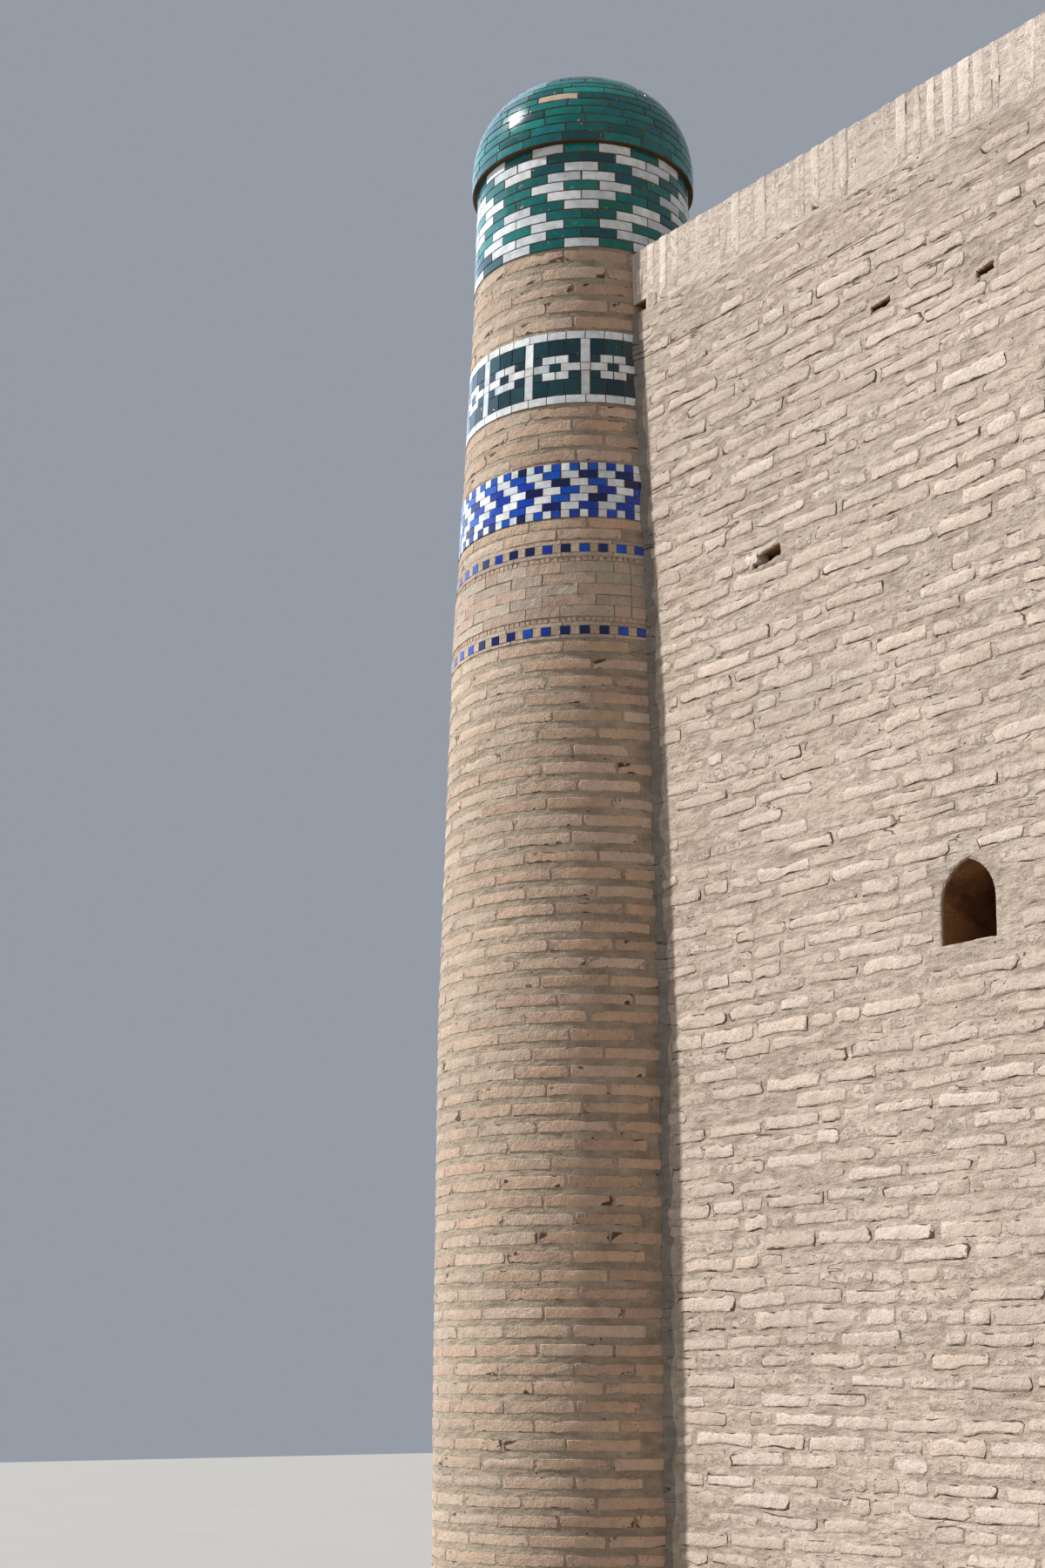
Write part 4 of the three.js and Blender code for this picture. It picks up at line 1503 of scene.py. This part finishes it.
def broken_brick(rng, quarter, lost):
    """The stub that is left of a lost brick, at the upper left of its hole."""
    edge = lost["x"] - lost["width"] / 2
    left, right = (edge + reach for reach in STUB_REACH)
    low = lost["z"] - STUB_UNDER
    high = lost["z"] + lost["height"] / 2 + STUB_OVER
    colour = tones(rng, PARAPET_TONES, 1, STUB_TONE_SPREAD)
    cells = course(left, right, low, high, 1, STUB_SUNK, colour)
    return lay(cells, wall_surface(quarter), STUB_MAKE, rng, 0)


# Mortar in a corner between a wall and a tower: its steps in height, and in millimetres how far it
# stays off the wall's ends, how far it reaches along the wall and round the tower, how far out its
# hollow stands, how far over a face it lies, and how deep behind the corner it is closed
FILL_STEPS = 110
FILL_END = 4
FILL_ON_WALL = (30, 78)
FILL_ON_TOWER = (6, 18)
FILL_BEND = (2.5, 13)
FILL_OVER = 1.5
FILL_BEHIND = 30


def corner_fill(rng, quarter, hand):
    """Mortar that fills the corner between a wall and a tower. Its section at each height runs from
    the wall in a hollow curve to the tower, and is closed behind the corner."""
    height = np.linspace(FILL_END, WALL_TOP - FILL_END, FILL_STEPS)
    corner_x = -wall_end(height)
    on_wall = rng.uniform(*FILL_ON_WALL, height.size)
    on_tower = rng.uniform(*FILL_ON_TOWER, height.size)
    step_back = WALL_FACE - TOWER_AXIS
    radius = face_radius(height) - TOWER_RELIEF
    angle = np.arctan2(-step_back, corner_x + TOWER_AXIS)
    turn = on_tower / radius
    out = radius + FILL_OVER
    tower_x = -TOWER_AXIS + out * np.cos(angle - turn)
    tower_y = -TOWER_AXIS + out * np.sin(angle - turn)
    bend = rng.uniform(*FILL_BEND, height.size)
    level = 0 * bend
    section = [
        (corner_x + on_wall + 4, 4 + level),
        (corner_x + on_wall * 0.5, -FILL_OVER - bend * 0.3),
        (corner_x + bend * 0.6, -bend),
        (tower_x, tower_y + WALL_FACE),
        (corner_x - 12, FILL_BEHIND + level),
    ]
    section_x, section_y = (np.stack(values, axis=-1) for values in zip(*section))
    points = turned(-hand * section_x, section_y - WALL_FACE, height[:, None], quarter)
    # The fill takes finish 2, the corner mortar, whose dark colour is partly painted shade.
    return tube(points[:, ::-hand], 2, True)


# Finishes
tower_brick = brick_material(
    "tower_fired_brick", TOWER_MORTAR_TONE, smear=-2.5, pit_spacing=17, cracked=-0.06
)
wall_brick = brick_material(
    "wall_fired_brick", WALL_MORTAR_TONE, smear=4.5, pit_spacing=15, cracked=0.03
)
parapet_brick = brick_material(
    "parapet_fired_brick", PARAPET_MORTAR_TONE, smear=5.0, pit_spacing=12, cracked=-0.1
)
cut_brick = brick_material("cut_brick", TOWER_MORTAR_TONE, smear=-20.0, pit_spacing=12, cracked=-0.5)
tower_mortar = mortar_material("tower_mud_mortar", pale="#ab9985", deep="#897764", cracked=-0.02)
wall_mortar = mortar_material("wall_mud_mortar", pale="#c6b4a2", deep="#9f8d7c", cracked=0.05)
parapet_mortar = mortar_material("parapet_mud_mortar", pale="#cdbcab", deep="#b8a797", cracked=-0.1)
# The corner mortar is grey, and is painted darker still as painted shade of the corner between tower
# and wall.
corner_mortar_and_painted_shade = mortar_material("corner_mud_mortar_and_painted_shade", pale="#958b80", deep="#7e7469", cracked=0.1)
panel_mortar = plaster_material("panel_lime_mortar", pale="#b09a82", deep="#a08b74")
joint_mortar = plaster_material("joint_mud", pale="#85603f", deep="#5d4029")
roof_plaster = plaster_material("roof_clay_plaster", pale="#b29c81", deep="#96805f")
band_glaze = glaze_material("glazed_tile", dirt=0.06, chips=0.0)
dome_glaze = glaze_material("glazed_brick", dirt=0.12, chips=0.02)

# The angle in degrees from which an edge of each kind of piece stays crisp
CREASE = {"shaft": 38, "band": 30, "wall": 36, "parapet": 50, "margin": 60}

for name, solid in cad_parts.items():
    plain = {"roof": roof_plaster, "parapet": parapet_mortar}
    solid.data.materials.clear()
    solid.data.materials.append(plain.get(name.split("_")[-1], wall_mortar))

# Towers
for quarter, tower in enumerate(TOWERS):
    rng = np.random.default_rng(100 + quarter)
    side = tower_surface(quarter)
    named = f"{tower}_tower_"

    shaft = turned_solid(shaft_profile(), quarter, 0, False)
    # The shaft mortar is paler towards the smeared side, which on the southwest tower is partly painted
    # light on its sunlit side.
    shaft["lime_and_painted_light"] = np.resize(smear_and_painted_light_at(np.arange(ROUND) * TAU / ROUND), len(shaft["points"]))
    bricks = lay(tower_brick_cells(rng), side, TOWER_MAKE, rng, 1)
    finishes = [tower_mortar, tower_brick]
    replaced = [named + "shaft"]
    build(named + "brickwork", [shaft, bricks], finishes, CREASE["shaft"], replaced)

    plain_cells, dot_cells = panel_cells(rng)
    bed = turned_solid(band_profile(PANEL_BOTTOM, PANEL_TOP, BRICK_RELIEF), quarter, 0, True)
    plain = lay(plain_cells, side, CUT_MAKE, rng, 1)
    dots = lay(dot_cells, side, {**TILE_MAKE, "bed": BRICK_RELIEF}, rng, 2)
    parts = [bed, plain, dots]
    finishes = [panel_mortar, cut_brick, band_glaze]
    replaced = [named + "relief_panel"]
    build(named + "relief_brickwork", parts, finishes, CREASE["band"], replaced)

    for band in TILE_BANDS:
        cells = grid_cells(rng, band)
        profile = band_profile(band["bottom"], band["top"], GLAZE_RELIEF)
        parts = [turned_solid(profile, quarter, 0, True), lay(cells, side, TILE_MAKE, rng, 1)]
        finishes = [joint_mortar, band_glaze]
        replaced = [f"{named}{band['name']}_band"]
        tiles = f"{named}{band['name']}_tiles"
        build(tiles, parts, finishes, CREASE["band"], replaced)

    finishes = [joint_mortar, dome_glaze]
    drum_side = [(face_radius(z) - GLAZE_RELIEF, z) for z in np.linspace(DRUM_BOTTOM, DRUM_TOP, 4)]
    bed = turned_solid(drum_side, quarter, 0, False)
    parts = [bed, lay(drum_cells(rng), side, DRUM_MAKE, rng, 1)]
    replaced = [named + "glazed_drum"]
    build(named + "drum_tiles", parts, finishes, CREASE["band"], replaced)

    bed = turned_solid(cap_profile(), quarter, 0, False)
    parts = [bed, lay(dome_cells(rng), dome_surface(quarter), DOME_MAKE, rng, 1)]
    replaced = [named + "cap"]
    build(named + "dome_tiles", parts, finishes, CREASE["band"], replaced)

# Walls
for quarter, side_name in enumerate(SIDES):
    rng = np.random.default_rng(200 + quarter)
    parts = [lay(wall_cells(rng, side_name), wall_surface(quarter), WALL_MAKE, rng, 0)]
    parts += [corner_fill(rng, quarter, hand) for hand in (-1, 1)]
    if side_name == "west":
        for hand in (-1, 1):
            parts.append(lay(door_cells(rng), arch_surface(quarter, DOOR, hand), DOOR_MAKE, rng, 0))
    if side_name == "south":
        parts.append(broken_brick(rng, quarter, LOST_BRICKS[0]))
        parts += [lost_brick_edging(rng, quarter, lost) for lost in LOST_BRICKS]
    named = f"{side_name}_"
    finishes = [wall_brick, wall_mortar, corner_mortar_and_painted_shade]
    build(named + "wall_brickwork", parts, finishes, CREASE["wall"])

    surface, climb, across = parapet_surface(quarter)
    parts = [lay(parapet_cells(rng, side_name, climb, across), surface, PARAPET_MAKE, rng, 0)]
    build(named + "parapet_brickwork", parts, [parapet_brick], CREASE["parapet"])
    parts = [window_margin(rng, quarter)]
    build(named + "window_margin", parts, [wall_mortar], CREASE["margin"])

# Floor
FLOOR_HALF = 60.0
floor_mesh = bpy.data.meshes.new("floor")
corner_points = [(x * FLOOR_HALF, y * FLOOR_HALF, 0) for x, y in ((-1, -1), (1, -1), (1, 1), (-1, 1))]
floor_mesh.from_pydata(corner_points, [], [(0, 1, 2, 3)])
floor_mesh.materials.append(floor_material())
floor = bpy.data.objects.new("floor", floor_mesh)
bpy.context.scene.collection.objects.link(floor)


# Light: a key from the left at the photograph's angle, a broad pale one beyond the towers for the
# glaze to reflect, and a pale surround
def add_sun(name, towards, energy, softness, tint):
    """A lamp that shines from a direction. Its softness is its width in degrees."""
    lamp = bpy.data.lights.new(name, "SUN")
    lamp.energy = energy
    lamp.angle = math.radians(softness)
    lamp.color = linear(tint)
    holder = bpy.data.objects.new(name, lamp)
    holder.rotation_euler = Vector(towards).to_track_quat("Z", "Y").to_euler()
    bpy.context.scene.collection.objects.link(holder)


KEY_ELEVATION = math.radians(48)
KEY_BEARING = (-0.66, -0.751)
key = [k * math.cos(KEY_ELEVATION) for k in KEY_BEARING]
add_sun("key", (*key, math.sin(KEY_ELEVATION)), energy=5.2, softness=2, tint="#ffffff")
add_sun("sky", (-1.0, -0.12, 0.5), energy=1.45, softness=75, tint="#d0e4ff")

world = bpy.data.worlds.new("surround")
world.use_nodes = True
surround = world.node_tree.nodes["Background"]
surround.inputs["Color"].default_value = rgba("#d8e1ef")
surround.inputs["Strength"].default_value = 0.44
bpy.context.scene.world = world
bpy.context.scene.view_settings.view_transform = "Standard"

# Camera: the photograph's view, raised with a shift so that the towers stay upright
EYE = (4.79, -7.92, 2.27)
FOCAL_PIXELS = 2588
FRAME_HEIGHT = 1800
SENSOR = 36.0
BEARING = math.radians(51.44)
PITCH = math.radians(7.34)
lens = bpy.data.cameras.new("camera")
lens.sensor_width = SENSOR
lens.lens = SENSOR * FOCAL_PIXELS / FRAME_HEIGHT
lens.shift_y = 0.2
camera = bpy.data.objects.new("camera", lens)
camera.location = EYE
level = math.cos(PITCH)
looking = Vector((-math.sin(BEARING) * level, math.cos(BEARING) * level, math.sin(PITCH)))
camera.rotation_euler = looking.to_track_quat("-Z", "Y").to_euler()
bpy.context.scene.collection.objects.link(camera)
bpy.context.scene.camera = camera
